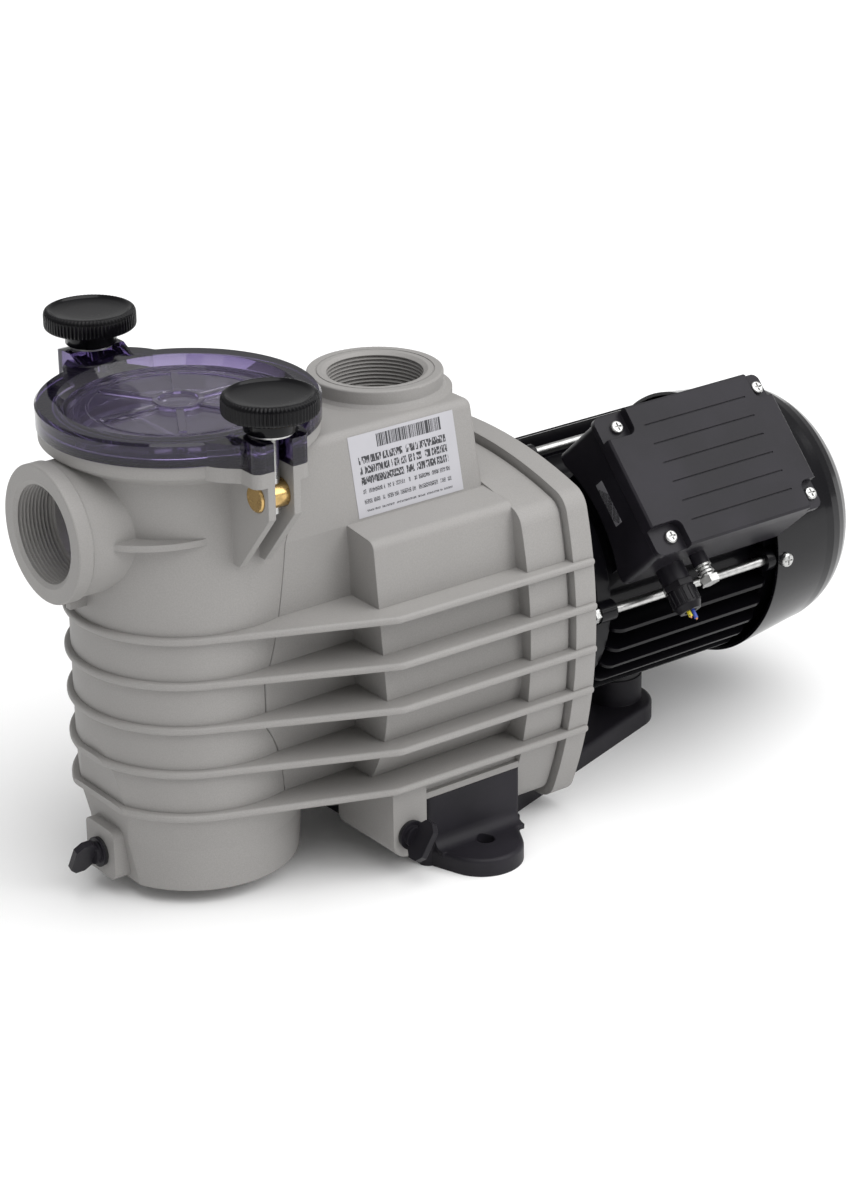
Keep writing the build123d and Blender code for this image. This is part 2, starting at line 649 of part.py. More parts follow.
def lid():
    """Clear lid: flange, sunk pane, spokes, hub, spigot and two crowned lugs."""
    pane = PANE_TOP_Z
    body = AT_POT * turned_z([
        (0, pane - LID_PANE), (SPIGOT_R - 3, pane - LID_PANE), (SPIGOT_R - 3, RIM_TOP_Z - SPIGOT_DEPTH),
        (SPIGOT_R, RIM_TOP_Z - SPIGOT_DEPTH), (SPIGOT_R, RIM_TOP_Z), (LID_R, RIM_TOP_Z),
        (LID_R, LID_TOP_Z - 1.5), (LID_R - 1.5, LID_TOP_Z), (LID_PANE_R + 4, LID_TOP_Z), (LID_PANE_R, pane),
        (0, pane),
    ])
    lugs = lug_plan(CROWN_START + 1, RIM_TOP_Z, LID_TOP_Z)
    body += lugs - rod_z(LID_R - 5, RIM_TOP_Z - 1, LID_TOP_Z + 1, POT_X)
    body += lid_lug(-1) + lid_lug(1)
    spoke = block(LID_HUB_R - 2, SPOKE_END_R, -2.2, 2.2, pane - 1, pane + 2.2)
    for i in range(LID_SPOKES):
        body += AT_POT * Rot(0, 0, 360 / LID_SPOKES * i) * spoke
    ring = rod_z(SPOKE_END_R + 1.6, pane - 1, pane + 0.7, POT_X)
    body += ring - rod_z(SPOKE_END_R, pane - 2, pane + 2, POT_X)
    body += rod_z(LID_HUB_R, pane - 1, pane + 3.2, POT_X)
    body -= rod_z(LID_HUB_R - 3, pane + 1.4, pane + 4, POT_X)
    body -= lug_slots(RIM_TOP_Z - 1, LUG_TOP_Z + 1)
    return body - AT_POT * Pos(0, 0, RIM_TOP_Z) * Torus(LID_ORING_PCR, LID_ORING_R + 0.1)


def lid_oring():
    """Round seal between lid and pot."""
    return AT_POT * Pos(0, 0, RIM_TOP_Z) * Torus(LID_ORING_PCR, LID_ORING_R)


def strainer_basket():
    """Slotted basket with a rolled rim, open towards the suction port."""
    r = BASKET_R
    rim_z = BASKET_TOP_Z - BASKET_RIM_T + RUNNING
    shell = turned_z([
        (0, BASKET_BOTTOM_Z), (r - 4, BASKET_BOTTOM_Z), (r, BASKET_BOTTOM_Z + 6), (r, rim_z),
        (r + BASKET_RIM, rim_z), (r + BASKET_RIM, BASKET_TOP_Z), (r - BASKET_WALL, BASKET_TOP_Z),
        (r - BASKET_WALL, BASKET_BOTTOM_Z + 7), (r - 5, BASKET_BOTTOM_Z + BASKET_WALL),
        (0, BASKET_BOTTOM_Z + BASKET_WALL),
    ])
    pitch = (BASKET_TOP_Z - BASKET_BOTTOM_Z - 30) / BASKET_ROWS
    windows = []
    for row in range(BASKET_ROWS):
        z = BASKET_BOTTOM_Z + 12 + pitch * row
        window = block(-r - 5, r + 5, -5, 5, z, z + pitch * 0.66)
        windows += [Rot(0, 0, 360 / BASKET_SLOTS * i) * window for i in range(BASKET_SLOTS // 2)]
    for i in range(-4, 5):
        x = FLOOR_SLOT_PITCH * i
        reach = sqrt((r - 12) ** 2 - x**2)
        windows.append(block(x - 2, x + 2, -reach, reach, BASKET_BOTTOM_Z - 1, BASKET_BOTTOM_Z + 3))
    shell = shell - Compound(children=windows)
    shell -= rod_x(PORT_BORE_R, -r - 10, 0, 0, SUCTION_Z)
    handle = rod_y(1.6, -r + 1, r - 1, 0, BASKET_TOP_Z - 2)
    return AT_POT * (shell + handle)


# ---------------------------------------------------------------- swing bolts and knobs
def swing_bolt(side):
    """Threaded rod with its thread as ring grooves."""
    top = HUB_BOTTOM_Z + KNOB_HUB + 4
    pitch, depth = 1.25, 0.6
    outline = [(0, BARREL_Z - BARREL_R - 3), (ROD_R - 0.6, BARREL_Z - BARREL_R - 3)]
    outline += [(ROD_R, BARREL_Z - BARREL_R - 2.4), (ROD_R, BARREL_Z + BARREL_R + 1)]
    turns = int((top - BARREL_Z - BARREL_R - 3) / pitch)
    for i in range(turns):
        z = BARREL_Z + BARREL_R + 1.6 + pitch * i
        outline += [(ROD_R, z), (ROD_R - depth, z + pitch / 2)]
    outline += [(ROD_R - depth, top), (0, top)]
    return Pos(POT_X, side * BOLT_Y, 0) * turned_z(outline)


def pivot_barrel(side):
    """Brass cross barrel that the swing bolt is screwed into."""
    half = SLOT_WIDTH / 2 + CHEEK + 1.4
    barrel = rod_x(BARREL_R, POT_X - half, POT_X + half, side * BOLT_Y, BARREL_Z)
    barrel = chamfer(barrel.edges(), 0.8)
    return barrel - rod_z(ROD_R, BARREL_Z - 2 * BARREL_R, BARREL_Z + 2 * BARREL_R, POT_X, side * BOLT_Y)


def knob_washer(side):
    """Steel washer carried under the knob's hub."""
    washer = rod_z(WASHER_R, LUG_TOP_Z + 0.05, HUB_BOTTOM_Z, POT_X, side * BOLT_Y)
    return washer - rod_z(ROD_R + FIT, LUG_TOP_Z - 1, HUB_BOTTOM_Z + 1, POT_X, side * BOLT_Y)


def knob(side):
    """Fluted knob with a hub and a sunk top."""
    z0 = HUB_BOTTOM_Z
    z1, z2 = z0 + KNOB_HUB, z0 + KNOB_HUB + KNOB_DISC
    points = []
    for i in range(KNOB_FLUTES):
        for step, r in ((0, KNOB_R - 0.7), (0.25, KNOB_R), (0.6, KNOB_R), (0.85, KNOB_R - 0.7)):
            a = 2 * pi * (i + step) / KNOB_FLUTES
            points.append((r * cos(a), r * sin(a)))
    disc = Pos(0, 0, z1) * extrude(make_face(Polyline(*points, close=True)), KNOB_DISC)
    crown = turned_z([
        (0, z0), (KNOB_HUB_R, z0), (KNOB_HUB_R, z1 - 1), (KNOB_R + 1, z1 + 1.5), (KNOB_R + 1, z2 - 2),
        (KNOB_R - 2.5, z2), (KNOB_R - 5, z2 - 1.8), (0, z2 - 2.6),
    ])
    hub = turned_z([(0, z0), (KNOB_HUB_R, z0), (KNOB_HUB_R, z1 + 2), (0, z1 + 2)])
    piece = (disc & crown) + hub
    piece -= rod_z(ROD_R + FIT / 2, z0 - 1, z1 + 6)
    return Pos(POT_X, side * BOLT_Y, 0) * piece


# ---------------------------------------------------------------- drain plugs
def drain_plug():
    """Wing plug along -X with its shank on +X; the sealing face is at x = 0."""
    shank = turned_x([
        (-6, 0), (-6, 6.5), (-3, 6.5), (-3, PLUG_HEAD_R), (-PLUG_SEAL, PLUG_HEAD_R), (-PLUG_SEAL, PLUG_R),
        (PLUG_SHANK - 1, PLUG_R), (PLUG_SHANK, PLUG_R - 1), (PLUG_SHANK, 0),
    ])
    wing = block(-19, -5, -WING_HALF, WING_HALF, -WING / 2, WING / 2)
    return shank + chamfer(wing.edges().filter_by(Axis.Z), 4.0)


def drain_oring():
    """Flat seal behind a plug's head."""
    ring = rod_x(PLUG_HEAD_R - 0.4, -PLUG_SEAL, 0)
    return ring - rod_x(PLUG_R, -PLUG_SEAL - 1, 1)


# ---------------------------------------------------------------- wet end inside
def diffuser():
    """Intake nozzle, front wall and guide vanes around the impeller."""
    wall_x = IMPELLER_BACK_X - IMPELLER_WIDTH - 18
    start_x, step_x = VOLUTE_FRONT_X + 2, VOLUTE_FRONT_X + CASING_WALL
    nozzle = turned_x([
        (start_x, EYE_R), (start_x, EYE_R + 4), (step_x, EYE_R + 4),
        (step_x, EYE_R + 12), (wall_x, EYE_R + 12), (wall_x, 84.0),
        (wall_x + 4, 84.0), (wall_x + 4, EYE_R),
    ])
    inner, outer = IMPELLER_R + 4, 84.0
    length = COVER_FACE_X - COVER_SPIGOT - wall_x - 4
    vane = Pos(wall_x + 4 + length / 2, 0, (inner + outer) / 2) * Rot(38, 0, 0) * Box(length, 3.2, 24)
    ring = rod_x(outer, wall_x + 4, COVER_FACE_X) - rod_x(inner, wall_x + 3, COVER_FACE_X + 1)
    piece = nozzle
    for blade in around_x(vane, DIFFUSER_VANES):
        piece += blade & ring
    return AT_SHAFT * piece


def vane_curve(start_turn, x):
    """Swept-back vane line through five points, turned on by an angle times radius."""
    points = []
    for i in range(5):
        share = i / 4
        r = VANE_START_R + (IMPELLER_R - VANE_START_R) * share
        turn = radians(VANE_SWEEP) * share + start_turn / r
        points.append((x, r * sin(turn), r * cos(turn)))
    return points


def impeller():
    """Closed impeller: hub, two shrouds and curved vanes."""
    back, front = IMPELLER_BACK_X, IMPELLER_BACK_X - IMPELLER_WIDTH
    hub = turned_x([
        (front + 4, SHAFT_R), (front + 4, 11), (back - 4, 16), (back, 16), (back + 4, 13),
        (back + 4, SHAFT_R),
    ])
    rear_shroud = turned_x([(back - 4, 12), (back - 4, IMPELLER_R), (back, IMPELLER_R), (back, 12)])
    front_shroud = turned_x([
        (front - 16, EYE_R - 3), (front - 16, EYE_R - FIT), (front + 1, EYE_R - FIT),
        (front + 6, IMPELLER_R), (front + 9, IMPELLER_R), (front + 4, EYE_R - 3),
    ])
    outer_side, inner_side = vane_curve(0, front + 2), vane_curve(VANE, front + 2)
    ends = Line(outer_side[-1], inner_side[-1]) + Line(inner_side[0], outer_side[0])
    profile = make_face(Spline(*outer_side) + Spline(*inner_side) + ends)
    vane = extrude(profile, IMPELLER_WIDTH - 4, dir=(1, 0, 0))
    space = turned_x([
        (front + 3, 14), (front + 3, EYE_R), (front + 8, IMPELLER_R), (back - 3, IMPELLER_R), (back - 3, 14),
    ])
    piece = hub + rear_shroud + front_shroud
    for blade in around_x(vane, VANES):
        piece += blade & space
    return AT_SHAFT * (piece - rod_x(SHAFT_R, front - 20, back + 10))


def impeller_nut():
    """Nut that holds the impeller on the shaft."""
    x0 = IMPELLER_BACK_X - IMPELLER_WIDTH - 4
    nut = hexagon_x(22, x0, x0 + 8)
    return AT_SHAFT * (nut - rod_x(SHAFT_R, x0 - 1, x0 + 9))


def seal_seat():
    """Stationary ring of the shaft seal, pressed into the casing cover."""
    return AT_SHAFT * turned_x([
        (SEAL_SEAT_X, SHAFT_R + 1), (SEAL_SEAT_X, 15), (SEAL_SEAT_X + 9, 15), (SEAL_SEAT_X + 9, SHAFT_R + 1),
    ])


def seal_head():
    """Rotating ring of the shaft seal with the spring that presses it on the seat."""
    x = SEAL_SEAT_X - RUNNING
    ring = turned_x([(x - 6, SHAFT_R), (x - 6, 15.5), (x - 3, 15.5), (x - 3, 13), (x, 13), (x, SHAFT_R)])
    start, end = IMPELLER_BACK_X + 4, x - 6
    wire, turns = 0.9, 3
    height = end - start - 2 * wire - FIT
    path = Helix(pitch=height / turns, height=height, radius=11.5)
    coil = sweep(Plane(path @ 0, z_dir=path % 0) * Circle(wire), path=path)
    return [AT_SHAFT * ring, AT_SHAFT * Pos(start + wire + FIT / 2, 0, 0) * Rot(0, 90, 0) * coil]


def casing_cover():
    """Plate that closes the volute and carries the shaft seal."""
    front, back = COVER_FACE_X - COVER_SPIGOT, COVER_BACK_X
    seat = SEAL_SEAT_X
    plate = turned_x([
        (front, 20), (front, LAND_R - FIT), (COVER_FACE_X, LAND_R - FIT), (COVER_FACE_X, COVER_R - FIT),
        (back, COVER_R - FIT), (back, 56), (back - 4, 56), (back - 4, SHAFT_R + 3),
        (seat + 9, SHAFT_R + 3), (seat + 9, 15), (seat + 1, 15), (seat + 1, 20),
    ])
    groove = rod_x(LAND_R, front + 2, front + 2 + ORING_GROOVE) - rod_x(ORING_PCR - ORING_R, front, front + 9)
    plate -= groove
    cover_hole = rod_x(CASING_BOLT_R + FIT, COVER_FACE_X - 1, back + 1, 0, COVER_BOLT_PCR)
    motor_hole = rod_x(3.0, back - 9, back + 1, 0, MOTOR_BOLT_PCR)
    for hole in around_x(cover_hole, COVER_BOLTS, 22.5) + around_x(motor_hole, 4, 45):
        plate -= hole
    return AT_SHAFT * plate


def casing_oring():
    """Seal round the casing cover's spigot."""
    return AT_SHAFT * torus_x(ORING_PCR, ORING_R, COVER_FACE_X - COVER_SPIGOT + 2 + ORING_GROOVE / 2)


def hex_bolt(radius, x0, x1, flats, pcr):
    """Hexagon bolt along X: shank from x0 to x1 and the head behind x1."""
    return Pos(0, 0, pcr) * (rod_x(radius, x0, x1) + hexagon_x(flats, x1, x1 + radius * 1.4))


def casing_bolts():
    """Bolts of the casing cover, and those that hold the motor's front shield on it."""
    cover_bolt = hex_bolt(CASING_BOLT_R, COVER_FACE_X - 10, COVER_BACK_X, 8.0, COVER_BOLT_PCR)
    motor_bolt = hex_bolt(3.0, COVER_BACK_X - 8, COVER_BACK_X + 8, 10.0, MOTOR_BOLT_PCR)
    return [AT_SHAFT * b for b in around_x(cover_bolt, COVER_BOLTS, 22.5) + around_x(motor_bolt, 4, 45)]


# ---------------------------------------------------------------- motor
def shaft():
    """Stepped rotor shaft."""
    return AT_SHAFT * turned_x([
        (IMPELLER_BACK_X - IMPELLER_WIDTH - 8, 0), (IMPELLER_BACK_X - IMPELLER_WIDTH - 8, SHAFT_R),
        (FRONT_BEARING_X - 6, SHAFT_R), (FRONT_BEARING_X - 6, 10), (FRONT_BEARING_X + 14, 10),
        (FRONT_BEARING_X + 14, 13), (CORE_START_X - 14, 13), (CORE_START_X - 14, 14),
        (CORE_START_X + CORE_LENGTH + 2, 14), (CORE_START_X + CORE_LENGTH + 2, 11), (REAR_BEARING_X, 11),
        (REAR_BEARING_X, 8.5), (REAR_BEARING_X + 13, 8.5), (REAR_BEARING_X + 13, FAN_SEAT_R),
        (FAN_X + FAN + 8, FAN_SEAT_R), (FAN_X + FAN + 8, 0),
    ])


def rotor_core():
    """Laminated rotor with its end rings."""
    r = STATOR_BORE_R - AIR_GAP
    end = CORE_START_X + CORE_LENGTH
    return AT_SHAFT * turned_x([
        (CORE_START_X - 8, 14), (CORE_START_X - 8, r - 3), (CORE_START_X, r - 3), (CORE_START_X, r),
        (end, r), (end, r - 3), (end + 2, r - 3), (end + 2, 14),
    ])


def stator_core():
    """Laminated stator ring."""
    end = CORE_START_X + CORE_LENGTH
    ring = rod_x(HOUSING_BORE_R, CORE_START_X, end) - rod_x(STATOR_BORE_R, CORE_START_X - 1, end + 1)
    return AT_SHAFT * ring


def stator_windings():
    """Two end turns of the winding."""
    start, end = CORE_START_X, CORE_START_X + CORE_LENGTH
    front = turned_x([(start - 17, 37), (start - 17, 52), (start, 55), (start, 36)])
    rear = turned_x([(end, 36), (end, 55), (end + 11, 52), (end + 11, 37)])
    return [AT_SHAFT * front, AT_SHAFT * rear]


def race(x0, width, inner, outer):
    """Plain bearing ring."""
    ring = rod_x(outer, x0, x0 + width) - rod_x(inner, x0 - 1, x0 + width + 1)
    return AT_SHAFT * ring


def balls(x0, width, bore, outside, count):
    """Balls of a bearing, as a group."""
    wall = (outside - bore) * 0.29
    ball_r = (outside - bore) / 2 - wall - RUNNING
    ball = Pos(x0 + width / 2, 0, (bore + outside) / 2) * Sphere(ball_r)
    return [AT_SHAFT * b for b in around_x(ball, count)]


FRONT_BEARING = dict(x0=FRONT_BEARING_X, width=14.0, bore=10.0, outside=23.5)
REAR_BEARING = dict(x0=REAR_BEARING_X, width=12.0, bore=8.5, outside=20.0)


def bearing_pieces(x0, width, bore, outside):
    """Outer race, inner race and balls."""
    wall = (outside - bore) * 0.29
    outer = race(x0, width, outside - wall, outside)
    inner = race(x0, width, bore, bore + wall)
    return outer, inner, balls(x0, width, bore, outside, 8)


def rod_ears(x0, x1, drop):
    """Four ears round the tie rods, their centres set inwards of the rods by a drop."""
    centre = TIE_ROD_PCR - drop
    ear = rod_x(EAR_R, x0, x1, 0, centre) + block(x0, x1, -EAR_R, EAR_R, centre - 15, centre)
    return joined(around_x(ear, 4))


def rod_holes(x0, x1):
    """Clearance holes for the tie rods."""
    return joined(around_x(rod_x(TIE_ROD_R, x0, x1, 0, TIE_ROD_PCR), 4))


def front_shield():
    """Motor end shield on the pump side, with the front bearing seat."""
    x0, x1 = COVER_BACK_X, MOTOR_FRONT_X
    seat = FRONT_BEARING_X
    outside = FRONT_BEARING["outside"]
    shell = turned_x([
        (x0, 56), (x0, 82), (x0 + 8, 82), (x0 + 8, 62), (x1 - 22, 64), (x1 - 10, HOUSING_R + 10),
        (x1, HOUSING_R + 10), (x1, HOUSING_BORE_R), (seat + 18, HOUSING_BORE_R - 4), (seat + 16, outside + 6),
        (seat + 16, outside), (seat, outside), (seat, 16), (seat - 4, 16), (seat - 4, outside + 8),
        (x0 + 10, 50), (x0, 50),
    ])
    shell += rod_ears(x1 - 12, x1, 1.0)
    shell -= rod_holes(x1 - 13, x1 + 1)
    shell -= joined(around_x(rod_x(ROD_NUT / 2 + 1, x1 - 18, x1 - 12, 0, TIE_ROD_PCR), 4))
    for hole in around_x(rod_x(3.0, x0 - 1, x0 + 9, 0, MOTOR_BOLT_PCR), 4, 45):
        shell -= hole
    return AT_SHAFT * shell


def fin_angles():
    """Angles of the fins that stand clear of the tie rods and the terminal box."""
    angles = []
    count = int(360 / FIN_ANGLE)
    pitch = 360 / count
    for i in range(count):
        angle = pitch * (i + 0.5)
        from_rod = abs((angle + 45) % 90 - 45)
        from_box = abs((angle - BOX_TILT + 180) % 360 - 180)
        if from_rod > 7.5 and from_box > 36:
            angles.append(angle)
    return angles


def motor_housing():
    """Finned tube round the stator, with a pad under the terminal box."""
    x0, x1 = MOTOR_FRONT_X, MOTOR_REAR_X
    tube = rod_x(HOUSING_R, x0, x1)
    fin = block(x0, x1, -FIN / 2, FIN / 2, HOUSING_R - 2, FIN_R)
    rounds = [e for e in fin.edges().filter_by(Axis.Y) if e.center().Z > FIN_R - 1]
    fin = fillet(rounds, 8.0)
    for angle in fin_angles():
        tube += Rot(angle, 0, 0) * fin
    pad = Rot(BOX_TILT, 0, 0) * block(TBOX_FRONT_X + 8, x1 - 6, -32, 32, 40, TBOX_BASE)
    tube += pad
    tube -= rod_x(HOUSING_BORE_R, x0 - 1, x1 + 1)
    tube -= Rot(BOX_TILT, 0, 0) * rod_z(7.0, 50, TBOX_BASE + 1, TBOX_MID_X)
    return AT_SHAFT * tube


def tie_rods():
    """Four long rods that clamp the shields on the housing, each with its nut in front."""
    x0, x1 = MOTOR_FRONT_X - 17, MOTOR_REAR_X + TIE_ROD_BITE
    rod = rod_x(TIE_ROD_R, x0, x1, 0, TIE_ROD_PCR)
    rod += Pos(0, 0, TIE_ROD_PCR) * hexagon_x(ROD_NUT, MOTOR_FRONT_X - 16, MOTOR_FRONT_X - 12)
    return [AT_SHAFT * r for r in around_x(rod, 4)]


def rear_shield():
    """Motor end shield on the fan side, with the rear bearing seat and ears for the tie rods."""
    x0, x1 = MOTOR_REAR_X, MOTOR_REAR_X + REAR_SHIELD
    seat, outside = REAR_BEARING["x0"], REAR_BEARING["outside"]
    cap = seat + REAR_BEARING["width"] + 1
    shell = turned_x([
        (x0, HOUSING_BORE_R), (x0, HOUSING_R + 8), (x1, HOUSING_R + 8), (x1, HOUSING_R),
        (x0 + 9, HOUSING_R - 4), (x0 + 9, outside + 8), (cap + 3, outside + 5), (cap + 3, 12), (cap, 12),
        (cap, outside), (seat, outside), (seat, outside + 5), (x0 + 4, outside + 10),
        (x0 + 5, HOUSING_BORE_R - 6),
    ])
    shell += rod_ears(x0, x1, EAR_DROP)
    front_ears = rod_ears(x0 - EAR_LEAD, x0 + 1, 0)
    shell += front_ears - rod_x(HOUSING_R + FIT, x0 - EAR_LEAD - 1, x0)
    shell -= rod_holes(x0 - EAR_LEAD - 1, x0 + TIE_ROD_BITE)
    for hole in around_x(rod_z(HOOD_SCREW_R, TIE_ROD_PCR - 5, HOOD_FRONT_R, HOOD_SCREW_X), 4):
        shell -= hole
    return AT_SHAFT * shell


def wave_washer():
    """Spring washer behind the rear bearing."""
    x = REAR_BEARING["x0"] + REAR_BEARING["width"]
    ring = rod_x(19.0, x, x + 0.9) - rod_x(14.0, x - 1, x + 2)
    return AT_SHAFT * ring


def cooling_fan():
    """Fan on the rear end of the shaft."""
    x0 = FAN_X
    hub = rod_x(14, x0, x0 + FAN) - rod_x(FAN_SEAT_R, x0 - 1, x0 + FAN + 1)
    plate = rod_x(FAN_R - 8, x0 + 16, x0 + 19) - rod_x(13, x0 + 15, x0 + 20)
    piece = hub + plate
    for blade in around_x(block(x0, x0 + 18, -1.2, 1.2, 13, FAN_R), FAN_BLADES):
        piece += blade
    return AT_SHAFT * piece


def fan_clip():
    """Ring clip that keeps the fan on the shaft."""
    x0 = FAN_X + FAN
    return AT_SHAFT * (rod_x(11, x0, x0 + 1.6) - rod_x(FAN_SEAT_R, x0 - 1, x0 + 3))


def hood_outline(inset):
    """Half outline of the fan cover as (x, radius) pairs; the rear corner is part of an ellipse."""
    front_x = HOOD_FRONT_X - (1 if inset else 0)
    end_x, end_r = HOOD_REAR_X - inset, HOOD_REAR_R - inset
    outline = [(front_x, 0), (front_x, HOOD_FRONT_R - inset)]
    steps = 9
    for i in range(steps + 1):
        turn = pi / 2 * i / steps
        outline.append((end_x - HOOD_ROUND * (1 - sin(turn)), end_r - HOOD_ROUND * (1 - cos(turn))))
    outline.append((end_x, 0))
    return outline


def hood_radius(x):
    """Radius of the tapered front part of the fan cover at x."""
    taper = (HOOD_FRONT_R - HOOD_REAR_R) / (HOOD_REAR_X - HOOD_ROUND - HOOD_FRONT_X)
    return HOOD_FRONT_R - taper * (x - HOOD_FRONT_X)


def fan_cover():
    """Hood over the fan, with ring slots for the air at the rear."""
    hood = turned_x(hood_outline(0)) - turned_x(hood_outline(HOOD_WALL))
    x0, x1 = HOOD_REAR_X - 12, HOOD_REAR_X + 1
    reach = GRILLE_START_R + GRILLE_PITCH * GRILLE_RINGS
    arms = block(x0 - 2, x1 + 2, -2.5, 2.5, -reach, reach) + block(x0 - 2, x1 + 2, -reach, reach, -2.5, 2.5)
    for ring in range(GRILLE_RINGS):
        r = GRILLE_START_R + GRILLE_PITCH * ring
        slot = rod_x(r + GRILLE_SLOT / 2, x0, x1) - rod_x(r - GRILLE_SLOT / 2, x0 - 1, x1 + 1)
        hood -= slot - Rot(45, 0, 0) * arms
    for hole in around_x(rod_z(HOOD_SCREW_R + FIT, HOOD_FRONT_R - 8, HOOD_FRONT_R + 3, HOOD_SCREW_X), 4):
        hood -= hole
    return AT_SHAFT * hood


def hood_screws():
    """Screws that hold the fan cover on the rear shield's ears."""
    seat = hood_radius(HOOD_SCREW_X - HOOD_HEAD_R)
    top = seat + 2.8
    shank = rod_z(HOOD_SCREW_R, TIE_ROD_PCR - 4, seat, HOOD_SCREW_X)
    head = rod_z(HOOD_HEAD_R, seat, top, HOOD_SCREW_X)
    head = fillet(head.edges().group_by(Axis.Z)[-1], 1.6)
    slot = block(HOOD_SCREW_X - 3, HOOD_SCREW_X + 3, -0.5, 0.5, top - 1, top + 1)
    cross = block(HOOD_SCREW_X - 0.5, HOOD_SCREW_X + 0.5, -3, 3, top - 1, top + 1)
    screw = shank + head - slot - cross
    return [AT_SHAFT * s for s in around_x(screw, 4)]


# ---------------------------------------------------------------- terminal box
def screw_spots():
    """Centres of the four cover screws, in the box frame."""
    return [(TBOX_MID_X + i * TSCREW_X, j * TSCREW_Y) for i in (-1, 1) for j in (-1, 1)]


def terminal_box():
    """Box on the motor, open on top, with the gland and earth bosses on its low side."""
    x0, x1, half, w = TBOX_FRONT_X, TBOX_REAR_X, TBOX_HALF, TBOX_WALL
    floor_z = FIN_R + 4
    outer = block(x0, x1, -half, half, HOUSING_R / 2, TBOX_RIM)
    outer = fillet(outer.edges().filter_by(Axis.Z), 4.0)
    outer -= rod_x(FIN_R + FIT, x0 - 1, x1 + 1)
    outer -= rod_x(HOOD_FRONT_R + 1, HOOD_FRONT_X - 2, x1 + 1)
    outer -= block(x0 - 1, x1 + 1, -half - 1, half + 1, 0, TBOX_BASE)
    outer -= block(x0 + w, x1 - w, -half + w, half - w, floor_z, TBOX_RIM + 1)
    outer += joined([rod_z(6.0, floor_z - 1, TBOX_RIM, x, y) for x, y in screw_spots()])
    for x, y in screw_spots():
        outer -= rod_z(TSCREW_R, floor_z + 6, TBOX_RIM + 1, x, y)
    feet = block(x0 + 10, MOTOR_REAR_X - 8, -30, 30, TBOX_BASE, floor_z - 1)
    outer += feet & rod_x(FIN_R + 1, x0, x1)
    outer -= rod_z(6.0, TBOX_BASE - 1, floor_z + 1, TBOX_MID_X)
    outer += rod_y(GLAND_BORE_R + 2.5, GLAND_FACE_Y, -half + 1, GLAND_X, GLAND_H)
    outer -= rod_y(GLAND_BORE_R, GLAND_FACE_Y - 1, -half + w + 9, GLAND_X, GLAND_H)
    outer += rod_y(5.2, EARTH_FACE_Y, -half + 1, EARTH_X, EARTH_H)
    outer -= rod_y(2.5, EARTH_FACE_Y - 1, -half + w + 1, EARTH_X, EARTH_H)
    return AT_BOX * outer


def box_gasket():
    """Flat seal between the box and its cover."""
    x0, x1, half, w = TBOX_FRONT_X, TBOX_REAR_X, TBOX_HALF, TBOX_WALL + 1
    ring = block(x0 + 0.5, x1 - 0.5, -half + 0.5, half - 0.5, TBOX_RIM, TBOX_RIM + BOX_SEAL)
    ring -= block(x0 + w, x1 - w, -half + w, half - w, TBOX_RIM - 1, TBOX_RIM + BOX_SEAL + 1)
    for x, y in screw_spots():
        ring -= rod_z(TSCREW_R + FIT, TBOX_RIM - 1, TBOX_RIM + BOX_SEAL + 1, x, y)
    return AT_BOX * ring


def box_cover():
    """Cover with round-cornered pockets for the screws and shallow lines along it."""
    z0 = TBOX_RIM + BOX_SEAL
    z1 = z0 + TCOVER
    lip = TCOVER_LIP
    cover = block(TBOX_FRONT_X - lip, TBOX_REAR_X + lip, -TBOX_HALF - lip, TBOX_HALF + lip, z0, z1)
    cover = fillet(cover.edges().filter_by(Axis.Z), 5.0)
    cover = chamfer(cover.faces().sort_by(Axis.Z)[-1].edges(), 1.2)
    hollow_x, hollow_y = TSCREW_X - 9, TSCREW_Y + 3
    cover -= block(TBOX_MID_X - hollow_x, TBOX_MID_X + hollow_x, -hollow_y, hollow_y, z0 - 1, z1 - 3)
    for x, y in screw_spots():
        i, j = (1 if x > TBOX_MID_X else -1), (1 if y > 0 else -1)
        size = 3 * TSCREW_POCKET
        middle_x, middle_y = x + i * TSCREW_POCKET / 2, y + j * TSCREW_POCKET / 2
        pocket = Pos(middle_x, middle_y, z0 + COVER_PAD + TCOVER / 2) * Box(size, size, TCOVER)
        cover -= fillet(pocket.edges().filter_by(Axis.Z), 5.0)
        cover -= rod_z(TSCREW_R + FIT, z0 - 1, z1, x, y)
    pitch = 2 * (TBOX_HALF - 13) / (COVER_LINES - 1)
    for i in range(COVER_LINES):
        y = -TBOX_HALF + 13 + pitch * i
        cover -= block(TBOX_MID_X - 40, TBOX_MID_X + 40, y - 0.4, y + 0.4, z1 - 0.6, z1 + 1)
    return AT_BOX * cover


def cover_screws():
    """Four screws of the terminal box cover."""
    z = TBOX_RIM + BOX_SEAL + COVER_PAD
    screws = []
    for x, y in screw_spots():
        head = rod_z(4.2, z, z + 2.6, x, y)
        head = fillet(head.edges().group_by(Axis.Z)[-1], 1.4)
        head -= block(x - 2.6, x + 2.6, y - 0.5, y + 0.5, z + 1.4, z + 4)
        head -= block(x - 0.5, x + 0.5, y - 2.6, y + 2.6, z + 1.4, z + 4)
        screws.append(AT_BOX * (head + rod_z(TSCREW_R, z - 14, z + 0.5, x, y)))
    return screws


def capacitor():
    """Start capacitor lying in the terminal box."""
    can = rod_x(13.0, TBOX_FRONT_X + 20, TBOX_REAR_X - 34, 10, TBOX_RIM - 13)
    return AT_BOX * chamfer(can.edges(), 1.0)


def terminal_block():
    """Row of wire terminals in the box."""
    floor_z = FIN_R + 4
    base = block(TBOX_MID_X - 10, TBOX_MID_X + 34, -34, -20, floor_z, floor_z + 10)
    for i in range(4):
        base += rod_z(3.0, floor_z + 9, floor_z + 13, TBOX_MID_X - 4 + 10.5 * i, -27)
    return AT_BOX * base


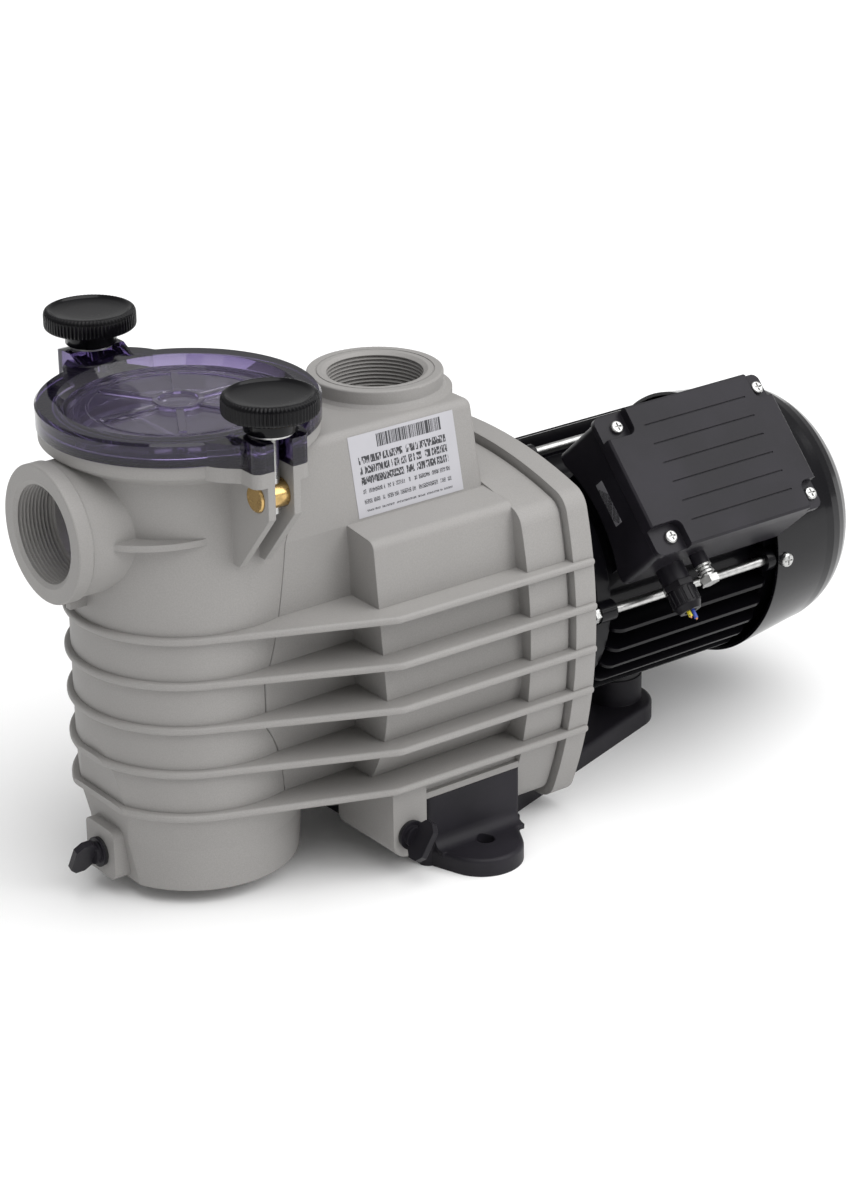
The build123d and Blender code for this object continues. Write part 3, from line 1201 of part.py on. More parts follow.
def on_gland(piece):
    """Place a piece made along +Z on the gland's axis, pointing out of the box."""
    return AT_BOX * Pos(GLAND_X, GLAND_FACE_Y, GLAND_H) * Rot(90, 0, 0) * piece


def gland_body():
    """Cable gland screwed in the low side of the box."""
    stem_r, bore_r = GLAND_BORE_R - RUNNING, GLAND_BORE_R - 2.5
    hexagon = extrude(RegularPolygon(GLAND_BORE_R + 2.5, 6, major_radius=False), 4)
    stem = rod_z(stem_r, -GLAND_BOSS - 3, GLAND_NUT)
    return on_gland(hexagon + stem - rod_z(bore_r, -GLAND_BOSS - 4, GLAND_NUT + 1))


def gland_nut():
    """Ribbed dome nut of the gland."""
    r, z0, z1 = GLAND_NUT_R, 4, 4 + GLAND_NUT
    dome = turned_z([
        (GLAND_BORE_R, z0), (r, z0), (r, z1 - 2), (r - 2, z1 + 2), (GLAND_BORE_R - 2.5, z1 + 2),
        (GLAND_BORE_R - 2.5, GLAND_NUT + FIT), (GLAND_BORE_R, GLAND_NUT + FIT),
    ])
    for i in range(16):
        dome += Rot(0, 0, 22.5 * i) * block(r - 1.5, r + 0.5, -0.8, 0.8, z0 + 1, z1 - 3)
    return on_gland(dome)


def lead_ends():
    """Cut ends of two conductors that stand out of the gland."""
    start, end = 2, GLAND_NUT + 10
    return [on_gland(rod_z(LEAD_R, start, end + side, side * (LEAD_R + FIT), 0)) for side in (-1, 1)]


def earth_screw():
    """Hexagon earth screw with its spring washers."""
    place = AT_BOX * Pos(EARTH_X, EARTH_FACE_Y, EARTH_H) * Rot(90, 0, 0)
    screw = rod_z(2.4, -6, 10) + Pos(0, 0, 8) * extrude(RegularPolygon(5.5, 6, major_radius=False), 4.5)
    for z, r in ((0, 5.2), (2.2, 4.4), (4.4, 5.2), (6.6, 4.4)):
        screw += rod_z(r, z, z + 1.4)
    return place * screw


def box_label():
    """Blank label on the front end of the terminal box."""
    return AT_BOX * block(TBOX_FRONT_X - LABEL, TBOX_FRONT_X, -14, 14, 92, 99)


def rating_label():
    """Blank rating label on the side of the upper box."""
    lean = degrees(atan((BOX_FOOT_HALF - BOX_TOP_HALF) / (BOX_TOP_Z - SHOULDER_Z)))
    middle_z = (BOX_TOP_Z + SHOULDER_Z) / 2 - 1.0
    plate = Pos(0, -LABEL / 2, 0) * Box(74, LABEL, 47)
    return Pos(-20, -box_half_at(middle_z), middle_z) * Rot(-lean, 0, 0) * plate


# ---------------------------------------------------------------- support
def anchor_lobe(side):
    """Flat lobe round one anchor hole, swept up into the saddle's wall."""
    root = side * (SADDLE_HALF - 8)
    outline = make_hull(
        (Pos(-3, side * ANCHOR_Y) * Circle(LOBE_R)).edges()
        + (Pos(SADDLE_FRONT_X + 6, root) * Circle(4)).edges()
        + (Pos(SADDLE_REAR_X - 6, root) * Circle(4)).edges()
    )
    lobe = extrude(outline, LOBE)
    lobe = fillet(lobe.faces().sort_by(Axis.Z)[-1].edges(), 2.5)
    x0, x1 = SADDLE_FRONT_X + 6, SADDLE_REAR_X - 6
    y0, y1 = side * (SADDLE_HALF - 1), side * (SADDLE_HALF + SWEEP_R)
    sweep_block = block(x0, x1, min(y0, y1), max(y0, y1), LOBE - 3, LOBE + SWEEP_R)
    hollow = rod_x(SWEEP_R, x0 - 1, x1 + 1, y1, LOBE + SWEEP_R)
    return lobe + (sweep_block - hollow)


def foot():
    """Black foot: saddle under the volute, two anchor lobes and a rear arm with a pillar."""
    saddle = block(SADDLE_FRONT_X, SADDLE_REAR_X, -SADDLE_HALF, SADDLE_HALF, 0, SADDLE_TOP_Z)
    saddle = fillet(saddle.edges().filter_by(Axis.Z), 6.0)
    saddle -= rod_x(VOLUTE_R + FIT, SADDLE_FRONT_X - 1, SADDLE_REAR_X + 1, 0, SHAFT_Z)
    arm_outline = make_hull(
        (Pos(ARM_END_X, 0) * Circle(ARM_END_R)).edges()
        + (Pos(SADDLE_REAR_X - 6, ARM_ROOT_HALF - 4) * Circle(4)).edges()
        + (Pos(SADDLE_REAR_X - 6, -ARM_ROOT_HALF + 4) * Circle(4)).edges()
    )
    arm = extrude(arm_outline, ARM)
    arm = fillet(arm.faces().sort_by(Axis.Z)[-1].edges(), 3.0)
    body = saddle + arm + anchor_lobe(-1) + anchor_lobe(1)
    body += rod_z(PILLAR_R, ARM - 1, SHAFT_Z - FIN_R - PAD, PILLAR_X)
    body -= block(SADDLE_FRONT_X + 5, SADDLE_REAR_X - 5, -SADDLE_HALF + 26, SADDLE_HALF - 26, -1, 8)
    wide, low = FLANGE_HALF + 5, FLANGE_BOTTOM_Z - FIT
    body -= block(STEP_X - FIT, FLANGE_END_X + FIT, -wide, wide, low, SHAFT_Z)
    for side in (-1, 1):
        body -= rod_z(ANCHOR_R, -1, SADDLE_TOP_Z, 0, side * ANCHOR_Y)
    for x, y in foot_screw_places():
        body -= rod_z(FOOT_SCREW_R + FIT, 0, SADDLE_TOP_Z + 1, x, y)
        body -= rod_z(5.6, -1, SADDLE_TOP_Z - 15, x, y)
    return body


def motor_pad():
    """Rubber pad between the pillar and the motor's fins."""
    pad = rod_z(PILLAR_R - 1, SHAFT_Z - FIN_R - PAD, SHAFT_Z - FIN_R + 4, PILLAR_X)
    return pad - rod_x(FIN_R, MOTOR_FRONT_X, MOTOR_REAR_X, 0, SHAFT_Z)


def foot_screws():
    """Screws from below through the foot into the body's rails."""
    z = SADDLE_TOP_Z - 15
    screws = []
    for x, y in foot_screw_places():
        screws.append(rod_z(FOOT_SCREW_R, z - 1, SADDLE_TOP_Z + 11, x, y) + rod_z(5.0, z - 3.5, z, x, y))
    return screws


# ---------------------------------------------------------------- assembly
def nodes():
    """Every piece by node name."""
    front_outer, front_inner, front_balls = bearing_pieces(**FRONT_BEARING)
    rear_outer, rear_inner, rear_balls = bearing_pieces(**REAR_BEARING)
    pieces = {
        "strainer_pot": strainer_pot(),
        "pump_body": pump_body(),
        "casing_ribs": casing_ribs(),
        "lid": lid(),
        "lid_oring": lid_oring(),
        "strainer_basket": strainer_basket(),
        "pot_drain_plug": POT_PLUG_PLACE * drain_plug(),
        "pot_drain_seal": POT_PLUG_PLACE * drain_oring(),
        "volute_drain_plug": SUMP_PLUG_PLACE * drain_plug(),
        "volute_drain_seal": SUMP_PLUG_PLACE * drain_oring(),
        "diffuser": diffuser(),
        "impeller": impeller(),
        "impeller_nut": impeller_nut(),
        "seal_seat": seal_seat(),
        "seal_head": seal_head(),
        "casing_cover": casing_cover(),
        "casing_oring": casing_oring(),
        "casing_bolts": casing_bolts(),
        "shaft": shaft(),
        "rotor_core": rotor_core(),
        "stator_core": stator_core(),
        "stator_windings": stator_windings(),
        "front_bearing_outer": front_outer,
        "front_bearing_inner": front_inner,
        "front_bearing_balls": front_balls,
        "rear_bearing_outer": rear_outer,
        "rear_bearing_inner": rear_inner,
        "rear_bearing_balls": rear_balls,
        "wave_washer": wave_washer(),
        "front_shield": front_shield(),
        "motor_housing": motor_housing(),
        "rear_shield": rear_shield(),
        "tie_rods": tie_rods(),
        "cooling_fan": cooling_fan(),
        "fan_clip": fan_clip(),
        "fan_cover": fan_cover(),
        "fan_cover_screws": hood_screws(),
        "terminal_box": terminal_box(),
        "box_gasket": box_gasket(),
        "box_cover": box_cover(),
        "box_cover_screws": cover_screws(),
        "capacitor": capacitor(),
        "terminal_block": terminal_block(),
        "gland_body": gland_body(),
        "gland_nut": gland_nut(),
        "lead_ends": lead_ends(),
        "earth_screw": earth_screw(),
        "box_label": box_label(),
        "rating_label": rating_label(),
        "foot": foot(),
        "foot_screws": foot_screws(),
        "motor_pad": motor_pad(),
    }
    for name, side in (("near", -1), ("far", 1)):
        pieces[f"{name}_swing_bolt"] = swing_bolt(side)
        pieces[f"{name}_pivot_barrel"] = pivot_barrel(side)
        pieces[f"{name}_knob_washer"] = knob_washer(side)
        pieces[f"{name}_knob"] = knob(side)
    return pieces


def write_parts():
    """Write one STEP file for each node."""
    os.makedirs("parts", exist_ok=True)
    for name, piece in nodes().items():
        shape = Compound(children=list(piece)) if isinstance(piece, list) else piece
        export_step(shape, f"parts/{name}.step")


write_parts()
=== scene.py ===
"""Finishes, small fittings and a studio stage for the pool pump.

Laid out as an add-on: the properties hold what a user would change, each group of
pieces has its own operator, and the panel lists them in the order main() runs them.
"""

import bpy
import numpy as np
from mathutils import Matrix, Vector


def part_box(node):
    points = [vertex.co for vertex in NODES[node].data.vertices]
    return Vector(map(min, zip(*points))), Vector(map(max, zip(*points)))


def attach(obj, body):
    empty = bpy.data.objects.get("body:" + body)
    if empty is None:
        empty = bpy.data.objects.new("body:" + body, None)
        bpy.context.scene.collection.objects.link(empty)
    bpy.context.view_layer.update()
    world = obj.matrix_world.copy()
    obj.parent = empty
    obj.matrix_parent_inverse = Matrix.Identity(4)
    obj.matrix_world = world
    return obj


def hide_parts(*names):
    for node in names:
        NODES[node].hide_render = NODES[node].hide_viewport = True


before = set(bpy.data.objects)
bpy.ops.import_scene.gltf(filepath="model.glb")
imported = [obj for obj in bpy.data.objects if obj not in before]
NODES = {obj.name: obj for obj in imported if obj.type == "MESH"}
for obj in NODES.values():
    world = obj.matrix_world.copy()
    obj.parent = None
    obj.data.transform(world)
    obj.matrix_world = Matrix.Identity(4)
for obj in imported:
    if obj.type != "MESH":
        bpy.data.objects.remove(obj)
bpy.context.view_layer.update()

bl_info = {
    "name": "Pool pump finishes",
    "version": (1, 0, 0),
    "blender": (4, 5, 0),
    "location": "View3D > Sidebar > Pool pump",
    "description": "Finishes, small fittings and a studio stage for a pool pump",
    "category": "Object",
}

MM = 0.001
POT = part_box("strainer_basket")
POT_X = (POT[0].x + POT[1].x) / 2
SHAFT_Z = sum((corner.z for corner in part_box("shaft")), 0.0) / 2
GLAND_X = sum((corner.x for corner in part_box("gland_nut")), 0.0) / 2
LEAD_R = 1.3 * MM
SEAT_GAP = 0.05 * MM


# ---------------------------------------------------------------- what a user would change
def colour(name, description, default):
    """Colour property with its name, description and default."""
    return bpy.props.FloatVectorProperty(
        name=name, description=description, default=default, subtype="COLOR", size=3, min=0.0, max=1.0
    )


class PumpFinish(bpy.types.PropertyGroup):
    """Colours of the pump's materials."""

    moulding: colour("Moulding", "Colour of the pump body", (0.285, 0.276, 0.267))
    lid_pane: colour("Lid pane", "Tint of the lid's thin pane", (0.60, 0.55, 0.72))
    lid_edge: colour("Lid edge", "Tint of the lid's thick rim and lugs", (0.10, 0.07, 0.20))
    black: colour("Gloss black", "Colour of knobs, fan cover and motor paint", (0.003, 0.0028, 0.004))
    charcoal: colour("Charcoal", "Colour of the foot and the terminal box", (0.011, 0.010, 0.013))
    label: colour("Label", "Ground of the printed labels", (0.45, 0.445, 0.475))
    brass: colour("Brass", "Colour of the pivot barrels", (0.62, 0.42, 0.17))
    zinc: colour("Zinc", "Colour of plated screws and rods", (0.58, 0.58, 0.57))


class PumpSizes(bpy.types.PropertyGroup):
    """Sizes of the fittings made here."""

    knob_flutes: bpy.props.IntProperty(name="Knob flutes", description="Flutes round a knob", default=72)
    flute_depth: bpy.props.FloatProperty(
        name="Flute depth", description="How deep the flutes are cut", default=0.8 * MM, unit="LENGTH"
    )
    strand_count: bpy.props.IntProperty(name="Strands", description="Copper strands in a lead", default=7)


class PumpStage(bpy.types.PropertyGroup):
    """Floor, light and camera."""

    floor: colour("Floor", "Colour of the floor", (0.96, 0.96, 0.96))
    sky: bpy.props.FloatProperty(name="Sky", description="Strength of the even light", default=0.42)
    sun: bpy.props.FloatProperty(name="Sun", description="Strength of the wide overhead light", default=2.9)
    key: bpy.props.FloatProperty(name="Key", description="Power of the left light", default=2.6, unit="POWER")
    fill: bpy.props.FloatProperty(
        name="Fill", description="Power of the right light", default=8.5, unit="POWER"
    )
    lens: bpy.props.FloatProperty(
        name="Lens", description="Focal length on a 36 mm high sensor", default=99.37
    )


# ---------------------------------------------------------------- shader maths
class Value:
    """A socket of a material, with arithmetic that adds the matching Math node."""

    def __init__(self, shade, socket):
        self.shade = shade
        self.socket = socket

    def math(self, operation, *values):
        """Math node of one operation on these values."""
        return self.shade.node("ShaderNodeMath", {"operation": operation}, dict(enumerate(values)))

    def __add__(self, other):
        return self.math("ADD", self, other)

    __radd__ = __add__

    def __sub__(self, other):
        return self.math("SUBTRACT", self, other)

    def __rsub__(self, other):
        return self.math("SUBTRACT", other, self)

    def __mul__(self, other):
        return self.math("MULTIPLY", self, other)

    __rmul__ = __mul__

    def __truediv__(self, other):
        return self.math("DIVIDE", self, other)

    def __pow__(self, other):
        return self.math("POWER", self, other)

    def fraction(self):
        """Part after the decimal point."""
        return self.math("FRACT", self)

    def whole(self):
        """Part before the decimal point."""
        return self.math("FLOOR", self)

    def above(self, level):
        """1 where the value is above the level, otherwise 0."""
        return self.math("GREATER_THAN", self, level)

    def within(self, low, high):
        """1 between low and high, otherwise 0."""
        return self.above(low) * (1 - self.above(high))

    def ease(self, low, high):
        """Smooth step from 0 at low to 1 at high."""
        settings = {"interpolation_type": "SMOOTHSTEP"}
        return self.shade.node("ShaderNodeMapRange", settings, {0: self, 1: low, 2: high})


class Shade:
    """One material while it is made."""

    def __init__(self, name):
        self.material = bpy.data.materials.new(name)
        self.material.use_nodes = True
        self.tree = self.material.node_tree
        self.tree.nodes.clear()
        self.place = self.node("ShaderNodeTexCoord", {}, {}, "Object")

    def node(self, kind, settings, sockets, output=0):
        """Any node: its type, its settings, the values or links of its sockets, and the output to use."""
        made = self.tree.nodes.new(kind)
        for key, setting in settings.items():
            if key == "stops":
                self.set_stops(made.color_ramp, setting)
            else:
                setattr(made, key, setting)
        for key, value in sockets.items():
            if isinstance(value, Value):
                self.tree.links.new(value.socket, made.inputs[key])
            else:
                made.inputs[key].default_value = value
        return Value(self, made.outputs[output]) if len(made.outputs) else made

    @staticmethod
    def set_stops(ramp, stops):
        """Places of a ramp's stops and their grey levels."""
        while len(ramp.elements) < len(stops):
            ramp.elements.new(0.5)
        for element, (place, level) in zip(ramp.elements, stops):
            element.position = place
            element.color = (level, level, level, 1.0)

    def axes(self):
        """X, Y and Z of the place, as three values."""
        split = self.node("ShaderNodeSeparateXYZ", {}, {0: self.place})
        made = split.socket.node
        return tuple(Value(self, made.outputs[i]) for i in range(3))

    def joined(self, x, y, z):
        """Vector of three values."""
        return self.node("ShaderNodeCombineXYZ", {}, {0: x, 1: y, 2: z})

    def noise(self, scale, detail=2.0, place=None, roughness=0.5):
        """Noise from 0 to 1 with this many features to the metre."""
        sockets = {"Vector": place or self.place, "Scale": scale, "Detail": detail, "Roughness": roughness}
        return self.node("ShaderNodeTexNoise", {}, sockets)

    def mix(self, mask, first, second):
        """Colour that goes from first to second as the mask goes from 0 to 1."""
        first, second = (c if isinstance(c, Value) else (*c, 1.0) for c in (first, second))
        return self.node("ShaderNodeMix", {"data_type": "RGBA"}, {0: mask, 6: first, 7: second}, 2)

    def bump(self, height, strength, distance, rounding=0.0):
        """Normal of a height in shares of a distance, on edges rounded to a radius."""
        sockets = {"Strength": strength, "Distance": distance, "Height": height}
        if rounding:
            sockets["Normal"] = self.node("ShaderNodeBevel", {"samples": 6}, {"Radius": rounding})
        return self.node("ShaderNodeBump", {}, sockets)

    def surface(self, **sockets):
        """Principled surface; names of sockets have underscores for spaces."""
        values = {}
        for name, value in sockets.items():
            if isinstance(value, tuple) and len(value) == 3:
                value = (*value, 1.0)
            values[name.replace("_", " ")] = value
        shader = self.node("ShaderNodeBsdfPrincipled", {}, values)
        self.node("ShaderNodeOutputMaterial", {}, {"Surface": shader})
        return self.material


def shaded(base, factor):
    """A colour made darker or lighter."""
    return tuple(min(1.0, channel * factor) for channel in base)


# ---------------------------------------------------------------- materials
def moulded_plastic(name, base, grain=0.22, rounding=0.8 * MM, roughness=0.56):
    """Glass-filled moulding: speckled, a little mottled, with a fine grain and soft edges."""
    shade = Shade(name)
    mottle = shade.noise(9, 3)
    speckle = shade.noise(1400, 2)
    flow = shade.noise(60, 4)
    dirt = mottle.ease(0.35, 0.75)
    clean = shade.mix(speckle.ease(0.30, 0.70), shaded(base, 0.94), shaded(base, 1.05))
    tone = shade.mix(dirt * 0.35 + flow * 0.15, clean, shaded(base, 0.84))
    height = speckle * 0.6 + shade.noise(420, 3) * 0.4
    return shade.surface(
        Base_Color=tone,
        Roughness=roughness - 0.10 + speckle * 0.12 + flow * 0.08,
        Normal=shade.bump(height, grain, 0.25 * MM, rounding),
        IOR=1.47,
    )


def gloss_black(name, base, roughness=0.16, ripple=0.10, rounding=0.5 * MM, coat=0.6):
    """Glossy black paint or plastic with a faint ripple and fine dust."""
    shade = Shade(name)
    dust = shade.noise(900, 2).ease(0.62, 0.80) * shade.noise(22, 2).ease(0.35, 0.7)
    tone = shade.mix(dust * 0.20, base, (0.05, 0.05, 0.05))
    wear = shade.noise(35, 4)
    return shade.surface(
        Base_Color=tone,
        Roughness=roughness - 0.04 + wear * 0.10 + dust * 0.15,
        Normal=shade.bump(shade.noise(260, 3), ripple, 0.2 * MM, rounding),
        Coat_Weight=coat * 0.8 + wear * coat * 0.3,
        Coat_Roughness=0.08,
        Specular_IOR_Level=0.12,
    )


def satin_black(name, base, roughness=0.36, grain=0.22, rounding=0.6 * MM):
    """Satin black moulding with a fine spark texture."""
    shade = Shade(name)
    speckle = shade.noise(1500, 2)
    cloud = shade.noise(28, 4)
    tone = shade.mix(cloud.ease(0.3, 0.8), base, shaded(base, 1.7))
    return shade.surface(
        Base_Color=tone,
        Roughness=roughness - 0.06 + cloud * 0.14,
        Normal=shade.bump(speckle * 0.7 + shade.noise(500, 2) * 0.3, grain, 0.2 * MM, rounding),
        Specular_IOR_Level=0.2,
    )


def plated_steel(name, base, roughness=0.28):
    """Zinc-plated steel, slightly clouded and scratched."""
    shade = Shade(name)
    cloud = shade.noise(240, 4)
    x, y, z = shade.axes()
    scratches = shade.noise(1.0, 3, shade.joined(x * 180, y * 4000, z * 4000))
    tone = shade.mix(cloud.ease(0.3, 0.75), base, shaded(base, 0.72))
    return shade.surface(
        Base_Color=tone,
        Metallic=1.0,
        Roughness=roughness - 0.06 + cloud * 0.16 + scratches * 0.06,
        Normal=shade.bump(scratches * 0.5 + cloud * 0.5, 0.12, 0.1 * MM, 0.3 * MM),
    )


def turned_metal(name, base, roughness=0.24):
    """Metal turned on a lathe: fine rings along X and a little tarnish."""
    shade = Shade(name)
    x, _, _ = shade.axes()
    rings = (x * 2600).math("SINE", x * 2600)
    tarnish = shade.noise(160, 4).ease(0.4, 0.8)
    tone = shade.mix(tarnish, base, shaded(base, 0.6))
    return shade.surface(
        Base_Color=tone,
        Metallic=1.0,
        Roughness=roughness + tarnish * 0.2,
        Normal=shade.bump(rings * 0.5 + 0.5, 0.15, 0.05 * MM, 0.4 * MM),
    )


def clear_tinted(name, pane, edge):
    """Clear tinted plastic, deeper in the thick rim and lugs than in the pane."""
    shade = Shade(name)
    x, y, _ = shade.axes()
    across = x - POT_X
    radius = (across * across + y * y) ** 0.5
    thick = radius.ease(0.062, 0.072)
    haze = shade.noise(55, 4).ease(0.45, 0.8)
    return shade.surface(
        Base_Color=shade.mix(thick, pane, edge),
        Roughness=0.03 + haze * 0.05,
        Normal=shade.bump(shade.noise(70, 2), 0.04, 0.3 * MM, 0.5 * MM),
        Transmission_Weight=0.96,
        IOR=1.45,
    )


def printed_label(name, base, rows, barcode):
    """Film label with lines of generic print and a bar pattern, set out over the node's own box."""
    low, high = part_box(name)
    shade = Shade(name)
    x, y, z = shade.axes()
    wide = high.x - low.x > high.y - low.y
    if wide:
        across = (x - low.x) / (high.x - low.x)
    else:
        across = (y - low.y) / (high.y - low.y)
    up = (z - low.z) / (high.z - low.z)
    line = up * rows
    row = line.whole()
    bold = row.within(rows * 0.3, rows * 0.72) if barcode else row.above(-1.0)
    small = line.fraction().within(0.25, 0.68) * (1 - bold)
    large = line.fraction().within(0.12, 0.86) * bold
    words = shade.noise(1.0, 1, shade.joined(across * 30, row * 7.3, 0.0)).above(0.42)
    strokes = shade.noise(1.0, 0, shade.joined(across * 240, row * 3.1, up * 80)).above(0.46)
    thick = shade.noise(1.0, 0, shade.joined(across * 120, row * 5.7, up * 24)).above(0.42)
    body = across.within(0.07, 0.90) * up.within(0.06, 0.74)
    print_mask = (small * strokes + large * thick) * words * body
    if barcode:
        bars = shade.noise(1.0, 0, shade.joined(across * 170, 0.0, 0.0)).above(0.48)
        print_mask = print_mask + bars * across.within(0.26, 0.87) * up.within(0.80, 0.96)
    ground = shade.mix(shade.noise(40, 3).ease(0.4, 0.8), base, shaded(base, 0.94))
    return shade.surface(
        Base_Color=shade.mix(print_mask, ground, (0.03, 0.03, 0.035)),
        Roughness=0.30 + shade.noise(120, 2) * 0.12,
        Normal=shade.bump(shade.noise(160, 2), 0.05, 0.1 * MM),
        Coat_Weight=0.25,
    )


def two_leads(name):
    """Coloured insulation: yellow on the lead on the front side, blue on the other."""
    shade = Shade(name)
    x, _, _ = shade.axes()
    tone = shade.mix(x.above(GLAND_X), (0.74, 0.62, 0.03), (0.03, 0.07, 0.42))
    return shade.surface(
        Base_Color=shade.mix(shade.noise(500, 2).ease(0.5, 0.8), tone, (0.12, 0.11, 0.08)),
        Roughness=0.34 + shade.noise(300, 2) * 0.15,
        Normal=shade.bump(shade.noise(700, 2), 0.1, 0.1 * MM),
    )


def soft_rubber(name, base=(0.012, 0.012, 0.013)):
    """Black rubber with a bloom."""
    shade = Shade(name)
    bloom = shade.noise(120, 4)
    return shade.surface(
        Base_Color=shade.mix(bloom.ease(0.4, 0.85), base, shaded(base, 2.2)),
        Roughness=0.52 + bloom * 0.16,
        Normal=shade.bump(shade.noise(1300, 2), 0.15, 0.1 * MM),
    )


def stacked_sheet(name):
    """Edges of stacked steel sheet."""
    shade = Shade(name)
    x, _, _ = shade.axes()
    edge = (x * 2000).fraction().within(0.1, 0.85)
    return shade.surface(
        Base_Color=shade.mix(edge, (0.05, 0.05, 0.05), (0.30, 0.30, 0.31)),
        Metallic=0.9,
        Roughness=0.36 + shade.noise(300, 2) * 0.2,
        Normal=shade.bump(edge, 0.3, 0.1 * MM),
    )


def wound_copper(name):
    """Lacquered copper wire laid side by side."""
    shade = Shade(name)
    _, y, z = shade.axes()
    strands = ((y * y + (z - SHAFT_Z) * (z - SHAFT_Z)) ** 0.5 * 900).fraction()
    return shade.surface(
        Base_Color=shade.mix(strands.ease(0.2, 0.8), (0.30, 0.10, 0.04), (0.62, 0.27, 0.12)),
        Metallic=0.8,
        Roughness=0.28 + shade.noise(300, 2) * 0.15,
        Normal=shade.bump(strands, 0.4, 0.3 * MM),
    )


def dress(material, *names):
    """Give CAD nodes this material."""
    for name in names:
        mesh = NODES[name].data
        mesh.materials.clear()
        mesh.materials.append(material)


# ---------------------------------------------------------------- surfaces
def grid_mesh(name, points, wrap_u=False, wrap_v=False, caps=()):
    """Mesh of an array of points (u, v, 3); quads join neighbours, and wrap closes a direction.

    caps names rows of u, 0 or -1, that are closed by one polygon.
    """
    count_u, count_v = points.shape[:2]
    index = np.arange(count_u * count_v).reshape(count_u, count_v)
    rows = np.vstack([index, index[:1]]) if wrap_u else index
    rows = np.hstack([rows, rows[:, :1]]) if wrap_v else rows
    quads = np.stack([rows[:-1, :-1], rows[1:, :-1], rows[1:, 1:], rows[:-1, 1:]], axis=-1)
    faces = quads.reshape(-1, 4).tolist()
    for row in caps:
        ring = index[row].tolist()
        faces.append(ring if row == 0 else ring[::-1])
    mesh = bpy.data.meshes.new(name)
    mesh.from_pydata(points.reshape(-1, 3).tolist(), [], faces)
    mesh.polygons.foreach_set("use_smooth", np.ones(len(faces), bool))
    mesh.validate()
    piece = bpy.data.objects.new(name, mesh)
    bpy.context.scene.collection.objects.link(piece)
    return piece


def finish_piece(piece, material, body, slot, *replaced):
    """Material, body and replaced nodes of a new piece; the slot argument is not used."""
    piece.data.materials.append(material)
    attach(piece, body)
    if replaced:
        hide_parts(*replaced)
    return piece


def knob_surface(node, flutes, depth):
    """Fluted knob: an outline of radius and height turned about the bolt, with the side pressed in.

    The flutes are a rounded square wave of the angle, at full depth on the side and fading out
    over the rim's top, so that each one leaves a notch in the edge.
    """
    low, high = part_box(node)
    centre = (low + high) / 2
    outer = (high.x - low.x) / 2
    base, top = low.z + SEAT_GAP, high.z
    hub, neck = 15.0 * MM, base + 8.6 * MM
    outline = np.array([
        (4.4 * MM, base), (hub - 0.8 * MM, base), (hub, base + 0.8 * MM), (hub, neck - 1.5 * MM),
        (hub + 0.5 * MM, neck - 0.4 * MM), (hub + 1.6 * MM, neck), (outer - 3.0 * MM, neck + 0.8 * MM),
        (outer - 1.2 * MM, neck + 1.2 * MM), (outer - 0.3 * MM, neck + 2.0 * MM), (outer, neck + 3.2 * MM),
        (outer, top - 3.4 * MM), (outer - 0.25 * MM, top - 2.0 * MM), (outer - 0.9 * MM, top - 0.8 * MM),
        (outer - 2.0 * MM, top - 0.15 * MM), (outer - 2.8 * MM, top), (outer - 3.5 * MM, top - 0.25 * MM),
        (outer - 4.2 * MM, top - 1.0 * MM), (outer - 6.0 * MM, top - 1.7 * MM), (outer * 0.5, top - 2.3 * MM),
        (outer * 0.2, top - 2.5 * MM), (0.4 * MM, top - 2.5 * MM),
    ])
    turns = np.linspace(0, 2 * np.pi, flutes * 8, endpoint=False)
    wave = 0.5 - 0.5 * np.tanh(3.4 * np.cos(turns * flutes) + 0.6)
    reach = np.clip((outline[:, 0] - (outer - 2.2 * MM)) / (1.4 * MM), 0, 1)
    radius = outline[:, :1] - depth * reach[:, None] * wave[None, :]
    height = outline[:, 1:] - depth * 0.5 * (reach * (1 - reach) * 4)[:, None] * wave[None, :]
    points = np.stack([
        centre.x + radius * np.cos(turns), centre.y + radius * np.sin(turns), height + 0 * turns,
    ], axis=-1)
    return grid_mesh(node + "_grip", points[::-1], wrap_v=True, caps=(0, -1))


def strand_bundle(name, start, along, radius, count, reach):
    """Cut strands of a lead: thin tubes side by side, each a circle carried along a straight line."""
    across = along.orthogonal().normalized()
    other = along.cross(across)
    turns = np.linspace(0, 2 * np.pi, 8, endpoint=False)
    circle = np.cos(turns)[:, None] * np.array(across) + np.sin(turns)[:, None] * np.array(other)
    strand = radius / 3.0
    pieces = []
    for i in range(count):
        angle = 2 * np.pi * i / max(1, count - 1)
        place = start if i == 0 else start + (across * np.cos(angle) + other * np.sin(angle)) * strand * 2
        length = reach * (1.0 - 0.12 * (i % 3))
        ends = np.array([np.array(place), np.array(place + along * length)])
        points = ends[:, None, :] + circle[None, :, :] * strand * 0.96
        pieces.append(grid_mesh(f"{name}_{i}", points[::-1], wrap_v=True, caps=(0, -1)))
    return joined_piece(name, pieces)


def joined_piece(name, pieces):
    """One mesh object of several."""
    offset, places, faces = 0, [], []
    for piece in pieces:
        mesh = piece.data
        places += [tuple(v.co) for v in mesh.vertices]
        faces += [[i + offset for i in polygon.vertices] for polygon in mesh.polygons]
        offset += len(mesh.vertices)
        bpy.data.objects.remove(piece)
    mesh = bpy.data.meshes.new(name)
    mesh.from_pydata(places, [], faces)
    mesh.polygons.foreach_set("use_smooth", np.ones(len(faces), bool))
    piece = bpy.data.objects.new(name, mesh)
    bpy.context.scene.collection.objects.link(piece)
    return piece


# ---------------------------------------------------------------- operators
class PumpOperator(bpy.types.Operator):
    """Shared settings of the pump's operators."""

    bl_idname = "pump.base"
    bl_label = "Pump"
    bl_options = {"REGISTER", "UNDO"}

    def execute(self, context):
        self.make(context.scene.pump_finish, context.scene.pump_sizes)
        return {"FINISHED"}


